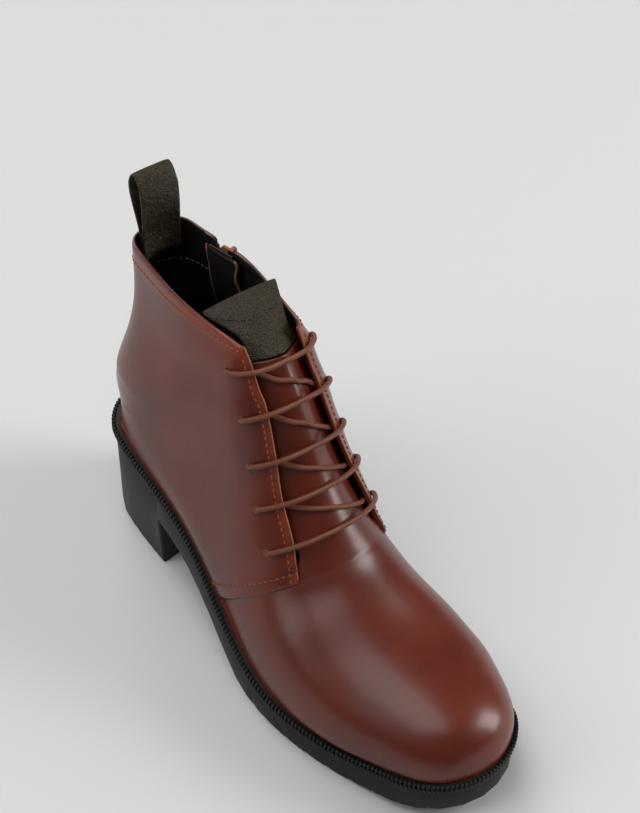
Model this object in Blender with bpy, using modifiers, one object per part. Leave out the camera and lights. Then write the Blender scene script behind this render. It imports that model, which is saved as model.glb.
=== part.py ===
"""A lace up ankle boot for the right foot, with a block heel, a ribbed welt and a zip on its inner side.

Metres, +Z up. The toe points along -Y and the outer side of the foot lies towards -X.
A place on the boot is worked out as (s, t, z): s runs forwards from the back of the heel, t towards the
outer side and z up from the floor. The function world() turns it into the scene's X, Y and Z.
"""
import math

import bmesh
import bpy
import numpy as np
from mathutils import Vector
from mathutils.bvhtree import BVHTree

OBJECT = "lace_up_ankle_boot"

# Driving sizes, in metres.
LENGTH = 0.262
BALL_OUTER = 0.0494
BALL_INNER = 0.0446
HEEL_RISE = 0.0597
BALL_RISE = 0.0174
TOE_RISE = 0.0275
COLLAR_HEIGHT = 0.160
VAMP_HEIGHT = 0.0560
SHAFT_HALF = 0.0240
TOE_SHIFT = 0.0036
SHAFT_LEAN = 0.0016
ARCH_RISE = 0.0310
TOE_SPRING = 0.0097
HEEL_LENGTH = 0.0590
HEEL_TAPER = 0.0021
BREAST_BOW = 0.0030
BOW_REACH = 0.0090
LUG_DEPTH = 0.0015
LUG_GROOVE = 0.0030
WELT_HEIGHT = 0.0045
WELT_LEDGE = 0.0024
WELT_RIBS = 80
RIB_DEPTH = 0.0007
SIDE_INSET = 0.0012
SOLE_EDGE = 0.0010
WALL = 0.0020
QUARTER_STEP = 0.0013
QUARTER_EDGE = 0.04
INSOLE_WALL = 0.0025
TONGUE_WALL = 0.0018
TONGUE_PAD = 0.0028
TONGUE_DIP = 0.0039
TONGUE_TUCK = 0.0080
LACE_RADIUS = 0.0012
EYELET_RADIUS = 0.0016
EYELET_INSET = 0.0125
GAP = 0.0003
LOOP_HALF = 0.0100
LOOP_WALL = 0.0016
LOOP_RISE = 0.0320
LOOP_ROOT = 0.0120
LOOP_BOW = 0.0030
ZIP_SLOT = 0.0070
TAPE_WIDTH = 0.0150
TAPE_WALL = 0.0008
TEETH_WIDTH = 0.0044
TEETH_WALL = 0.0014
SLIDER_LENGTH = 0.0090
SLIDER_WIDTH = 0.0064
SLIDER_HEIGHT = 0.0020
PULL_LENGTH = 0.0220
PULL_WIDTH = 0.0062
PULL_WALL = 0.0011
PULL_BAR = 0.0006
PULL_WINDOW = 0.0100
PULL_WEB = 0.0030
WINDOW_WIDTH = 0.0036
BAIL_WIDTH = 0.0020
BAIL_WALL = 0.0011

# Outline of the welt from above.
# Columns: station (share of LENGTH), outer half width (share of BALL_OUTER), inner half width (share of BALL_INNER).
OUTLINE = (
    (0.000, 0.000, 0.000),
    (0.012, 0.264, 0.292),
    (0.046, 0.590, 0.566),
    (0.115, 0.716, 0.709),
    (0.237, 0.757, 0.712),
    (0.363, 0.812, 0.673),
    (0.496, 0.930, 0.757),
    (0.630, 0.998, 0.946),
    (0.763, 0.883, 0.998),
    (0.870, 0.700, 0.868),
    (0.947, 0.518, 0.672),
    (0.985, 0.300, 0.372),
    (1.000, 0.000, 0.000),
)

# Top of the welt.
# Columns: station (share of LENGTH), share of the heel's rise over the ball, share of the toe's rise over it.
WELT_TOP = (
    (0.000, 1.000, 0.0),
    (0.153, 0.898, 0.0),
    (0.305, 0.750, 0.0),
    (0.458, 0.382, 0.0),
    (0.592, 0.075, 0.0),
    (0.763, 0.000, 0.0),
    (0.897, 0.000, 0.5),
    (1.000, 0.000, 1.0),
)

# Underside in front of the heel. Columns: station (share of LENGTH), share of ARCH_RISE, share of TOE_SPRING.
UNDERSIDE = (
    (0.225, 1.000, 0.0),
    (0.305, 0.890, 0.0),
    (0.420, 0.513, 0.0),
    (0.496, 0.200, 0.0),
    (0.565, 0.000, 0.0),
    (0.780, 0.000, 0.0),
    (0.897, 0.000, 0.3),
    (1.000, 0.000, 1.0),
)

# Sections of the vamp, from the toe's tip back to the throat. Each goes from the ridge down to the welt.
# Columns: name, ridge station (share of LENGTH), ridge height over the welt (share of VAMP_HEIGHT),
# end station (share of LENGTH), outer and inner half width (shares of BALL_OUTER and BALL_INNER),
# depth of the rounded top (share of the section's length).
VAMP = (
    ("toe_tip", 0.9905, 0.005, 0.9905, -0.073, 0.081, 0.90),
    ("toe_cap", 0.9750, 0.250, 0.9730, 0.330, 0.420, 0.93),
    ("toe_box", 0.9350, 0.430, 0.9250, 0.545, 0.700, 0.88),
    ("toe_top", 0.8750, 0.545, 0.8550, 0.700, 0.855, 0.84),
    ("fore", 0.8050, 0.650, 0.7750, 0.845, 0.960, 0.80),
    ("ball", 0.7350, 0.765, 0.6900, 0.935, 0.940, 0.78),
    ("waist", 0.6780, 0.895, 0.5900, 0.960, 0.870, 0.76),
)

# Sections of the quarters, from the throat's corner back to the collar. The first five end on the welt and the
# others close round the back seam.
# Columns: name, ridge station (share of LENGTH), ridge height (share of COLLAR_HEIGHT), end station (share of
# LENGTH), end height (share of COLLAR_HEIGHT, 0 on the welt), outer and inner half width at the front and then at
# the back (shares of SHAFT_HALF), front and back depth (shares of the section's length).
QUARTERS = (
    ("corner", 0.6260, 0.476, 0.4560, 0.000, 1.780, 1.500, 1.780, 1.500, 0.74, 0.20),
    ("instep", 0.5800, 0.562, 0.3400, 0.000, 1.560, 1.380, 1.620, 1.300, 0.50, 0.20),
    ("arch", 0.5330, 0.650, 0.2280, 0.000, 1.330, 1.270, 1.510, 1.290, 0.34, 0.22),
    ("ankle", 0.4920, 0.757, 0.1100, 0.000, 1.150, 1.150, 1.410, 1.270, 0.22, 0.24),
    ("heel", 0.4520, 0.867, 0.0092, 0.000, 1.060, 1.100, 1.370, 1.260, 0.17, 0.28),
    ("counter", 0.4350, 0.905, 0.0000, 0.500, 0.960, 1.040, 1.300, 1.230, 0.16, 0.28),
    ("achilles", 0.4180, 0.945, 0.0330, 0.700, 0.880, 0.970, 0.980, 0.940, 0.15, 0.24),
    ("shaft", 0.4100, 0.975, 0.0350, 0.850, 0.760, 0.850, 0.760, 0.780, 0.14, 0.18),
    ("collar", 0.4050, 1.003, 0.0225, 0.990, 0.620, 0.720, 0.680, 0.720, 0.14, 0.16),
)
TIP = 0
CORNER = len(VAMP)
HEEL = CORNER + 4
COLLAR = CORNER + len(QUARTERS) - 1

# How far the shaft's sides bow out between front and back. Columns: row counted from the corner, outer and inner
# bow (shares of SHAFT_HALF).
SIDE_BOWS = (
    (0, 0.000, 0.000),
    (4, 0.000, 0.000),
    (5, 0.030, 0.030),
    (6, 0.080, 0.080),
    (7, 0.150, 0.160),
    (8, 0.190, 0.210),
)

# Inner edges of the facings. Columns: row counted from the corner, outer and inner half gap (shares of SHAFT_HALF).
FACINGS = (
    (0, 1.058, 1.208),
    (1, 0.880, 0.990),
    (2, 0.770, 0.840),
    (3, 0.640, 0.700),
    (4, 0.550, 0.620),
    (6, 0.550, 0.570),
    (8, 0.555, 0.555),
)

# Rows of the lace holes, counted from the corner, from the top hole down.
LACE_ROWS = (6.20, 3.85, 2.85, 1.86, 0.85)

# Steps between one section and the next, from the toe's tip to the collar.
SECTION_STEPS = (3, 3, 3, 3, 3, 3, 3, 3, 3, 3, 4, 3, 3, 2, 2)
CROWN_COLUMNS = 4
CAP_COLUMNS = 4
SIDE_COLUMNS = 2
BACK_COLUMNS = 4
ROUNDNESS = 2.1
BACK_ROUNDNESS = 3.0

# The zip's middle line on the inner side, from the collar down.
# Columns: station (share of LENGTH), height (share of COLLAR_HEIGHT).
ZIP_LINE = (
    (0.140, 1.010),
    (0.146, 0.930),
    (0.156, 0.800),
    (0.168, 0.660),
    (0.180, 0.520),
)

# Crown of the tongue's grained top, above the highest lace bar.
# Columns: station (share of LENGTH), height (share of COLLAR_HEIGHT), half width (share of SHAFT_HALF), crown
# (share of SHAFT_HALF).
TONGUE_TOP = (
    (0.362, 1.000, 0.500, 0.120),
    (0.325, 1.030, 0.660, 0.160),
    (0.287, 1.048, 0.830, 0.180),
)

# Middle of the pull loop's strap, seen from the side, from its rear foot over the top to its front foot.
# Columns: distance forwards from the plane between its legs, height over the collar (shares of LOOP_RISE).
LOOP_SHAPE = (
    (0.035, -0.375),
    (-0.005, -0.180),
    (-0.034, 0.020),
    (-0.100, 0.320),
    (-0.175, 0.620),
    (-0.195, 0.830),
    (-0.150, 0.965),
    (-0.080, 0.995),
    (0.010, 0.930),
    (0.090, 0.780),
    (0.110, 0.560),
    (0.070, 0.280),
    (0.034, 0.020),
    (0.055, -0.180),
    (0.095, -0.375),
)

# Materials. Columns: colour, roughness, metallic.
FINISHES = {
    "rubber": ((0.020, 0.020, 0.021), 0.75, 0.0),
    "burgundy_leather": ((0.105, 0.022, 0.012), 0.32, 0.0),
    "olive_leather": ((0.040, 0.038, 0.022), 0.45, 0.0),
    "insole_leather": ((0.030, 0.028, 0.026), 0.80, 0.0),
    "waxed_cord": ((0.130, 0.045, 0.025), 0.55, 0.0),
    "zip_tape": ((0.060, 0.014, 0.008), 0.85, 0.0),
    "copper_metal": ((0.300, 0.110, 0.060), 0.35, 1.0),
}


def world(s, t, z):
    middle = (max(column(OUTLINE, 1)) * BALL_OUTER - max(column(OUTLINE, 2)) * BALL_INNER) / 2
    return Vector((middle - t, LENGTH / 2 - s, z))


def column(table, index):
    return np.array([row[index] for row in table], float)


def natural(xs, ys):
    """Natural cubic spline through the points, as a function."""
    xs = np.asarray(xs, float)
    ys = np.asarray(ys, float)
    n = len(xs)
    h = np.diff(xs)
    system = np.eye(n)
    right = np.zeros(n)
    for i in range(1, n - 1):
        system[i, i - 1:i + 2] = (h[i - 1], 2 * (h[i - 1] + h[i]), h[i])
        right[i] = 6 * ((ys[i + 1] - ys[i]) / h[i] - (ys[i] - ys[i - 1]) / h[i - 1])
    bend = np.linalg.solve(system, right)

    def read(x):
        x = np.clip(x, xs[0], xs[-1])
        i = np.clip(np.searchsorted(xs, x) - 1, 0, n - 2)
        low = x - xs[i]
        high = xs[i + 1] - x
        bowed = (bend[i] * high ** 3 + bend[i + 1] * low ** 3) / (6 * h[i])
        straight = (ys[i] / h[i] - bend[i] * h[i] / 6) * high + (ys[i + 1] / h[i] - bend[i + 1] * h[i] / 6) * low
        return bowed + straight

    return read


def monotone(xs, ys):
    """Smooth curve through the points that never overshoots them, as a function."""
    xs = np.asarray(xs, float)
    ys = np.asarray(ys, float)
    slope = np.diff(ys) / np.diff(xs)
    lean = np.zeros(len(xs))
    for i in range(1, len(xs) - 1):
        if slope[i - 1] * slope[i] > 0:
            lean[i] = 2 * slope[i - 1] * slope[i] / (slope[i - 1] + slope[i])
    lean[0] = slope[0]
    lean[-1] = slope[-1]

    def read(x):
        x = np.clip(x, xs[0], xs[-1])
        i = np.clip(np.searchsorted(xs, x) - 1, 0, len(xs) - 2)
        width = xs[i + 1] - xs[i]
        f = (x - xs[i]) / width
        ends = (1 + 2 * f) * (1 - f) ** 2 * ys[i] + f * f * (3 - 2 * f) * ys[i + 1]
        return ends + f * (1 - f) ** 2 * width * lean[i] - f * f * (1 - f) * width * lean[i + 1]

    return read


def smooth(f):
    """0 up to 0, 1 from 1 on, and an even curve between."""
    f = min(max(f, 0.0), 1.0)
    return f * f * (3 - 2 * f)


def closed_outline():
    """A fine closed curve round the welt, from the heel's back along the outer side to the toe and back."""
    s = column(OUTLINE, 0) * LENGTH
    outer = np.stack([s, column(OUTLINE, 1) * BALL_OUTER], 1)
    outer[-1, 1] = -TOE_SHIFT
    inner = np.stack([s, -column(OUTLINE, 2) * BALL_INNER], 1)[1:-1][::-1]
    points = np.concatenate([outer, inner])
    lap = 4
    points = np.concatenate([points[-lap:], points, points[:lap + 1]])
    along = np.concatenate([[0], np.cumsum(np.linalg.norm(np.diff(points, axis=0), axis=1))])
    fine = np.linspace(along[lap], along[-lap - 1], 2001)[:-1]
    return np.stack([natural(along, points[:, 0])(fine), natural(along, points[:, 1])(fine)], 1)


FINE = closed_outline()
TOE_INDEX = int(np.argmax(FINE[:, 0]))
HALVES = {}


def half_outline(inset, side):
    """One side of the outline moved inwards, heel back to toe tip, and its arc shares. Side is 1 outer, -1 inner."""
    key = (round(inset, 6), side)
    if key not in HALVES:
        ahead = np.roll(FINE, -3, 0) - np.roll(FINE, 3, 0)
        ahead /= np.linalg.norm(ahead, axis=1)[:, None]
        curve = FINE + np.stack([ahead[:, 1], -ahead[:, 0]], 1) * inset
        half = curve[:TOE_INDEX + 1] if side > 0 else np.concatenate([curve[:1], curve[TOE_INDEX:][::-1]])
        along = np.concatenate([[0], np.cumsum(np.linalg.norm(np.diff(half, axis=0), axis=1))])
        HALVES[key] = (half, along / along[-1])
    return HALVES[key]


def edge_point(inset, side, share):
    """(s, t) on one side of the moved outline, share 0 at the heel's back and 1 at the toe's tip."""
    half, shares = half_outline(inset, side)
    return np.interp(share, shares, half[:, 0]), np.interp(share, shares, half[:, 1])


def share_at(inset, side, s):
    """The arc share at which one side of the moved outline reaches station s."""
    half, shares = half_outline(inset, side)
    order = np.maximum.accumulate(half[:, 0])
    return float(np.interp(s, order + np.arange(len(order)) * 1e-12, shares))


WELT_HEEL = natural(column(WELT_TOP, 0), column(WELT_TOP, 1))
WELT_TOE = monotone(column(WELT_TOP, 0), column(WELT_TOP, 2))
UNDER_ARCH = monotone(column(UNDERSIDE, 0), column(UNDERSIDE, 1))
UNDER_TOE = monotone(column(UNDERSIDE, 0), column(UNDERSIDE, 2))


def welt_top(s):
    share = s / LENGTH
    return float(BALL_RISE + WELT_HEEL(share) * (HEEL_RISE - BALL_RISE) + WELT_TOE(share) * (TOE_RISE - BALL_RISE))


def seat(s):
    """Top of the sole's body, which carries the welt, the upper and the insole."""
    return welt_top(s) - WELT_HEIGHT


def underside(s):
    if s < HEEL_LENGTH + 0.0005:
        return 0.0
    share = s / LENGTH
    return float(UNDER_ARCH(share) * ARCH_RISE + UNDER_TOE(share) * TOE_SPRING)


def make_material(name):
    colour, roughness, metallic = FINISHES[name]
    material = bpy.data.materials.new(name)
    material.use_nodes = True
    shader = material.node_tree.nodes["Principled BSDF"]
    shader.inputs["Base Color"].default_value = (*colour, 1.0)
    shader.inputs["Roughness"].default_value = roughness
    shader.inputs["Metallic"].default_value = metallic
    material.diffuse_color = (*colour, 1.0)
    return material


def make_object(name, bm, material, collection):
    mesh = bpy.data.meshes.new(name)
    bm.to_mesh(mesh)
    bm.free()
    mesh.shade_smooth()
    mesh.set_sharp_from_angle(angle=math.radians(35))
    if material:
        mesh.materials.append(material)
    obj = bpy.data.objects.new(name, mesh)
    collection.objects.link(obj)
    return obj


def face_outwards(bm, merge=1e-7):
    bmesh.ops.remove_doubles(bm, verts=bm.verts, dist=merge)
    bmesh.ops.recalc_face_normals(bm, faces=bm.faces)
    if bm.calc_volume(signed=True) < 0:
        bmesh.ops.reverse_faces(bm, faces=bm.faces)


def slab(outer_rows, inner_rows):
    """A closed body between two grids of the same size, rows of points (s, t, z)."""
    bm = bmesh.new()
    layers = [[[bm.verts.new(world(*point)) for point in row] for row in rows] for rows in (outer_rows, inner_rows)]
    top, bottom = layers
    count = len(top)
    width = len(top[0])
    for i in range(count - 1):
        for j in range(width - 1):
            bm.faces.new((top[i][j], top[i][j + 1], top[i + 1][j + 1], top[i + 1][j]))
            bm.faces.new((bottom[i + 1][j], bottom[i + 1][j + 1], bottom[i][j + 1], bottom[i][j]))
    rim = [(0, j) for j in range(width)] + [(i, width - 1) for i in range(1, count)]
    rim += [(count - 1, j) for j in range(width - 2, -1, -1)] + [(i, 0) for i in range(count - 2, 0, -1)]
    for (a, b), (c, d) in zip(rim, rim[1:] + rim[:1]):
        bm.faces.new((top[c][d], top[a][b], bottom[a][b], bottom[c][d]))
    face_outwards(bm)
    return bm


def add_cut(obj, cutter, operation="DIFFERENCE"):
    modifier = obj.modifiers.new("Cut " + cutter.name, "BOOLEAN")
    modifier.operation = operation
    modifier.object = cutter
    modifier.solver = "EXACT"


def make_cutter(name, bm, cutters):
    obj = make_object(name, bm, None, cutters)
    obj.hide_render = True
    obj.display_type = "WIRE"
    return obj


def sole_shares(per_half):
    """Arc shares round one half of the sole, with a close pair at the heel's breast."""
    shares = np.linspace(0, 1, per_half + 1)
    breast = share_at(0.0, 1, HEEL_LENGTH)
    near = int(np.argmin(abs(shares - breast)))
    shares[near] = breast
    step = share_at(0.0, 1, HEEL_LENGTH + SOLE_EDGE) - breast
    return np.insert(shares, near + 1, breast + step)


def sole_ring(shares, inset, height, heel_inset):
    """One closed ring round the sole; the inner half takes its stations from the outer one."""
    ring = []
    for side, line in ((1, shares), (-1, shares[1:-1][::-1])):
        for share in line:
            s = edge_point(0.0, 1, share)[0]
            on_side = share if side > 0 else share_at(0.0, -1, s)
            use = heel_inset if s < HEEL_LENGTH + 0.0005 else inset
            place = edge_point(use, side, on_side)
            ring.append((float(place[0]), float(place[1]), height(s, float(place[0]))))
    return ring


def cap_grid(bm, ring_verts, ring, count, columns, dish, bow):
    """Quads across a ring between its two halves, with inner points dished and bowed."""
    size = len(ring)
    lines = []
    for i in range(count):
        line = [ring_verts[i]]
        if 0 < i < count - 1:
            outer = np.array(ring[i])
            inner = np.array(ring[size - i])
            for j in range(1, columns):
                f = j / columns
                round_share = 4 * f * (1 - f)
                point = outer * (1 - f) + inner * f
                point[0] -= bow * round_share * math.exp(-((outer[0] - HEEL_LENGTH) / BOW_REACH) ** 2)
                point[2] += dish * round_share
                line.append(bm.verts.new(world(*point)))
            line.append(ring_verts[size - i])
        lines.append(line)
    for low, high in zip(lines[:-1], lines[1:]):
        if len(low) == 1 or len(high) == 1:
            tip, edge = (low[0], high) if len(low) == 1 else (high[0], low)
            for a, b in zip(edge[:-1], edge[1:]):
                bm.faces.new((tip, a, b))
        else:
            for j in range(len(low) - 1):
                bm.faces.new((low[j], high[j], high[j + 1], low[j + 1]))


def ring_body(rings, count, columns, top_dish=0.0, bow=0.0):
    """A closed body from rings, bottom to top, with gridded caps."""
    bm = bmesh.new()
    made = [[bm.verts.new(world(*point)) for point in ring] for ring in rings]
    size = len(rings[0])
    for low, high in zip(made[:-1], made[1:]):
        for i in range(size):
            j = (i + 1) % size
            bm.faces.new((low[i], low[j], high[j], high[i]))
    cap_grid(bm, made[0], rings[0], count, columns, 0.0, bow)
    cap_grid(bm, made[-1], rings[-1], count, columns, top_dish, 0.0)
    face_outwards(bm)
    return bm


def build_outsole(material, parts, cutters):
    shares = sole_shares(30)
    count = len(shares)

    def between(part, lift=0.0):
        """Height at a share of the way from the underside to the seat, above station s of the outline."""
        return lambda s, at: underside(s) + (seat(at) - underside(s)) * part + lift

    taper = HEEL_TAPER + SIDE_INSET
    levels = (
        (SIDE_INSET + SOLE_EDGE, between(0.0), taper + SOLE_EDGE),
        (SIDE_INSET, between(0.0, SOLE_EDGE), taper),
        (SIDE_INSET, between(0.55), SIDE_INSET + HEEL_TAPER * 0.45),
        (SIDE_INSET, between(1.0, -SOLE_EDGE), SIDE_INSET),
        (SIDE_INSET + SOLE_EDGE / 2, between(1.0), SIDE_INSET + SOLE_EDGE / 2),
    )
    rings = [sole_ring(shares, *level) for level in levels]
    sole = make_object("outsole", ring_body(rings, count, 6, bow=BREAST_BOW), material, parts)
    grooves = bmesh.new()
    for share, width in [(0.085 + 0.055 * i, 0.9) for i in range(2)] + [(0.600 + 0.045 * i, 1.0) for i in range(9)]:
        s = share * LENGTH
        if abs(share - 0.645) < 0.001:
            continue
        z = underside(s)
        box = bmesh.ops.create_cube(grooves, size=1.0)["verts"]
        centre = world(s, 0.0, z)
        for vert in box:
            vert.co = Vector((vert.co.x * width * 0.12 + centre.x, vert.co.y * LUG_GROOVE + centre.y,
                              vert.co.z * 2 * LUG_DEPTH + centre.z))
    add_cut(sole, make_cutter("lug_grooves", grooves, cutters))
    return sole


def build_welt(material, parts):
    """A strip round the sole whose side and top carry two rows of slanted ribs."""
    bm = bmesh.new()
    count = WELT_RIBS * 2
    half = count // 2
    levels = (
        (0.0, 0.55, 0.0), (0.0, 0.0, 0.0), (0.5, 0.0, 1.0), (0.93, 0.15, 0.0), (1.0, 0.7, 0.0),
    )
    rings = []
    for rise, draw_in, slant in levels:
        ring = []
        for i in range(count):
            side = 1 if i <= half else -1
            share = (i if side > 0 else count - i) / half
            shifted = min(max(share + side * slant / half, 0.0), 1.0)
            tooth = (i % 2) * RIB_DEPTH if draw_in < 0.5 else 0.0
            s, t = edge_point(draw_in * WELT_LEDGE * 0.5 + tooth, side, shifted)
            ring.append((s, t, seat(s) + GAP + (WELT_HEIGHT - GAP) * rise))
        rings.append(ring)
    for rise in (1.0, 0.0):
        ring = []
        for i in range(count):
            side = 1 if i <= half else -1
            share = (i if side > 0 else count - i) / half
            s, t = edge_point(WELT_LEDGE - GAP, side, share)
            ring.append((s, t, seat(s) + GAP + (WELT_HEIGHT - GAP) * rise))
        rings.append(ring)
    verts = [[bm.verts.new(world(*point)) for point in ring] for ring in rings]
    for a, b in zip(range(len(rings)), list(range(1, len(rings))) + [0]):
        for i in range(count):
            j = (i + 1) % count
            bm.faces.new((verts[a][i], verts[a][j], verts[b][j], verts[b][i]))
    face_outwards(bm)
    return make_object("welt", bm, material, parts)


def section_curves():
    """Each value of the sections as a smooth function of the row, 0 at the toe's tip."""
    rows = np.arange(COLLAR + 1)
    ridge_s = np.concatenate([column(VAMP, 1), column(QUARTERS, 1)]) * LENGTH
    vamp_z = [welt_top(row[1] * LENGTH) + row[2] * VAMP_HEIGHT for row in VAMP]
    ridge_z = np.concatenate([vamp_z, column(QUARTERS, 2) * COLLAR_HEIGHT])
    end_station = np.concatenate([column(VAMP, 3), column(QUARTERS, 3)])[:HEEL + 1] * LENGTH
    curves = {"ridge_s": natural(rows, ridge_s), "ridge_z": natural(rows, ridge_z)}
    for side in (1, -1):
        shares = [share_at(WELT_LEDGE, side, s) for s in end_station]
        shares[0] = 1.0
        shares[-1] = 0.0
        curves["end_share", side] = monotone(rows[:HEEL + 1], shares)
    back = QUARTERS[HEEL - CORNER:]
    back_s = column(back, 3) * LENGTH
    back_s[0] = edge_point(WELT_LEDGE, 1, 0.0)[0]
    back_z = column(back, 4) * COLLAR_HEIGHT
    back_z[0] = welt_top(back_s[0]) + GAP
    curves["back_s"] = natural(rows[HEEL:], back_s)
    curves["back_z"] = natural(rows[HEEL:], back_z)
    for side, vamp_column, size, front, rear in ((1, 4, BALL_OUTER, 5, 7), (-1, 5, BALL_INNER, 6, 8)):
        vamp = column(VAMP, vamp_column) * size
        for end, index in (("front", front), ("rear", rear)):
            values = np.concatenate([vamp, column(QUARTERS, index) * SHAFT_HALF])
            curves[end, side] = monotone(rows, values)
    vamp_depth = column(VAMP, 6)
    curves["front_depth"] = monotone(rows, np.concatenate([vamp_depth, column(QUARTERS, 9)]))
    curves["back_depth"] = monotone(rows, np.concatenate([(1 - vamp_depth) / 2, column(QUARTERS, 10)]))
    facing_rows = column(FACINGS, 0) + CORNER
    curves["gap", 1] = monotone(facing_rows, column(FACINGS, 1) * SHAFT_HALF)
    curves["gap", -1] = monotone(facing_rows, column(FACINGS, 2) * SHAFT_HALF)
    bow_rows = column(SIDE_BOWS, 0) + CORNER
    curves["bow", 1] = monotone(bow_rows, column(SIDE_BOWS, 1) * SHAFT_HALF)
    curves["bow", -1] = monotone(bow_rows, column(SIDE_BOWS, 2) * SHAFT_HALF)
    return curves


CURVES = section_curves()


def centre_line(z):
    return -SHAFT_LEAN * smooth((z - HEEL_RISE) / (COLLAR_HEIGHT - HEEL_RISE))


def facing_angle(side, row):
    """Angle round the rounded top at which the facing's edge lies, the same for every section of the vamp."""
    start = side * centre_line(float(CURVES["ridge_z"](row)))
    gap = float(CURVES["gap", side](row)) - start
    front = float(CURVES["front", side](row)) - start
    return math.asin(min(max(gap / front, 0.0), 1.0) ** (ROUNDNESS / 2))


def base_point(side, row, place):
    """A point of the upper's form. Place runs 0 ridge, 1 facing edge, 2 side's front, 3 side's back, 4 end."""
    ridge = np.array([CURVES["ridge_s"](row), CURVES["ridge_z"](row)])
    toe_part = smooth((CORNER - row) / CORNER)
    ridge_t = -TOE_SHIFT * toe_part + centre_line(ridge[1]) * (1 - toe_part)
    middle = -side * TOE_SHIFT * toe_part
    if row <= HEEL:
        end_s, end_t = edge_point(WELT_LEDGE, side, float(CURVES["end_share", side](row)))
        end = np.array([end_s, welt_top(end_s) + GAP])
        end_t = side * end_t
    else:
        end = np.array([CURVES["back_s"](row), CURVES["back_z"](row)])
        end_t = side * centre_line(end[1])
    front = float(CURVES["front", side](row))
    rear = float(CURVES["rear", side](row))
    if row <= HEEL:
        rear = max(rear, end_t + 1e-4)
        if row < CORNER:
            front = rear
    start = side * ridge_t
    length = np.linalg.norm(end - ridge)
    front_end = float(CURVES["front_depth"](row))
    back_start = 1 - float(CURVES["back_depth"](row))
    power = 2 / ROUNDNESS
    edge = facing_angle(side, max(row, CORNER))
    if place <= 2:
        angle = edge * place if place <= 1 else edge + (math.pi / 2 - edge) * (place - 1)
        out = start + (front - start) * math.sin(angle) ** power
        depth = front_end * (1 - math.cos(angle) ** power)
    elif place <= 3:
        part = place - 2
        out = front + (rear - front) * smooth(part) + float(CURVES["bow", side](row)) * math.sin(math.pi * part)
        depth = front_end + (back_start - front_end) * part
    else:
        part = place - 3
        if row <= HEEL:
            last = math.acos(min(max((end_t - middle) / (rear - middle), 0.0), 1.0) ** (1 / power))
            angle = last * part
            reach = (math.sin(angle) / math.sin(last)) ** power if last > 1e-6 else part
            out = middle + (rear - middle) * max(math.cos(angle), 0.0) ** power
        else:
            angle = math.pi / 2 * part
            power = 2 / (ROUNDNESS + (BACK_ROUNDNESS - ROUNDNESS) * smooth((row - HEEL) / 2))
            reach = math.sin(angle) ** power
            out = end_t + (rear - end_t) * max(math.cos(angle), 0.0) ** power
        depth = back_start + (1 - back_start) * reach
    spot = ridge + (end - ridge) * depth
    return np.array([spot[0], side * out, spot[1]])


def form_point(side, row, place, lift=0.0):
    """The upper's form moved outwards by lift, along its own normal."""
    if row < 1e-6:
        s, t = edge_point(WELT_LEDGE - lift, 1, 1.0)
        return np.array([s, t, welt_top(s) + GAP])
    point = base_point(side, row, place)
    if abs(lift) < 1e-9:
        return point
    step = 0.03
    rows = (max(row - step, 0.02), min(row + step, COLLAR))
    place = min(max(place, 0.0), 3.97)
    places = (max(place - step, 0.0), min(place + step, 3.97))
    along = base_point(side, rows[1], place) - base_point(side, rows[0], place)
    across = base_point(side, row, places[1]) - base_point(side, row, places[0])
    if row <= 0.02:
        across = base_point(side, 0.05, places[1]) - base_point(side, 0.05, places[0])
    normal = np.cross(across, along) * side
    if place == 0.0:
        normal[1] = 0.0
    size = np.linalg.norm(normal)
    if size < 1e-15:
        return point
    return point + normal / size * lift


def vamp_drop(row):
    """How far the vamp lies under the quarters' level, growing towards the throat."""
    return -QUARTER_STEP * smooth((row - CORNER + 2) / 2)


def section_rows():
    """The row of every section of the mesh, vamp first and then the quarters."""
    rows = [0.0]
    for i, steps in enumerate(SECTION_STEPS):
        rows += [i + (j + 1) / steps for j in range(steps)]
    return rows


def places(first):
    """Column places from a first one to the end, on one side."""
    found = []
    for start, steps in ((0, CROWN_COLUMNS), (1, CAP_COLUMNS), (2, SIDE_COLUMNS), (3, BACK_COLUMNS)):
        if start >= first:
            found += [start + j / steps for j in range(steps)]
    return found + [4.0]


def upper_line(side, row, first):
    """Outer and inner points of one section on one side, from a first column place down to the welt or back seam."""
    lift = vamp_drop(row) if row <= CORNER else 0.0
    overlay = QUARTER_STEP * (1 - smooth(row - CORNER)) if row > CORNER else 0.0
    depth = lift - WALL - overlay
    columns = places(first)
    outer = [form_point(side, row, place, lift) for place in columns]
    inner = [form_point(side, row, place, depth) for place in columns]
    if row <= HEEL:
        share = float(CURVES["end_share", side](row))
        s, t = edge_point(WELT_LEDGE, side, share)
        inner_s, inner_t = edge_point(WELT_LEDGE + WALL, side, share)
        outer[-1] = (s, t, welt_top(s) + GAP)
        inner[-1] = (inner_s, inner_t, welt_top(s) + GAP)
        outer.append((s, t, seat(s) + GAP))
        inner.append((inner_s, inner_t, seat(s) + GAP))
    else:
        middle = centre_line(outer[-1][2])
        outer[-1] = (outer[-1][0], middle, outer[-1][2])
        inner[-1] = (inner[-1][0], middle, inner[-1][2])
    return list(zip(outer, inner))


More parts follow.
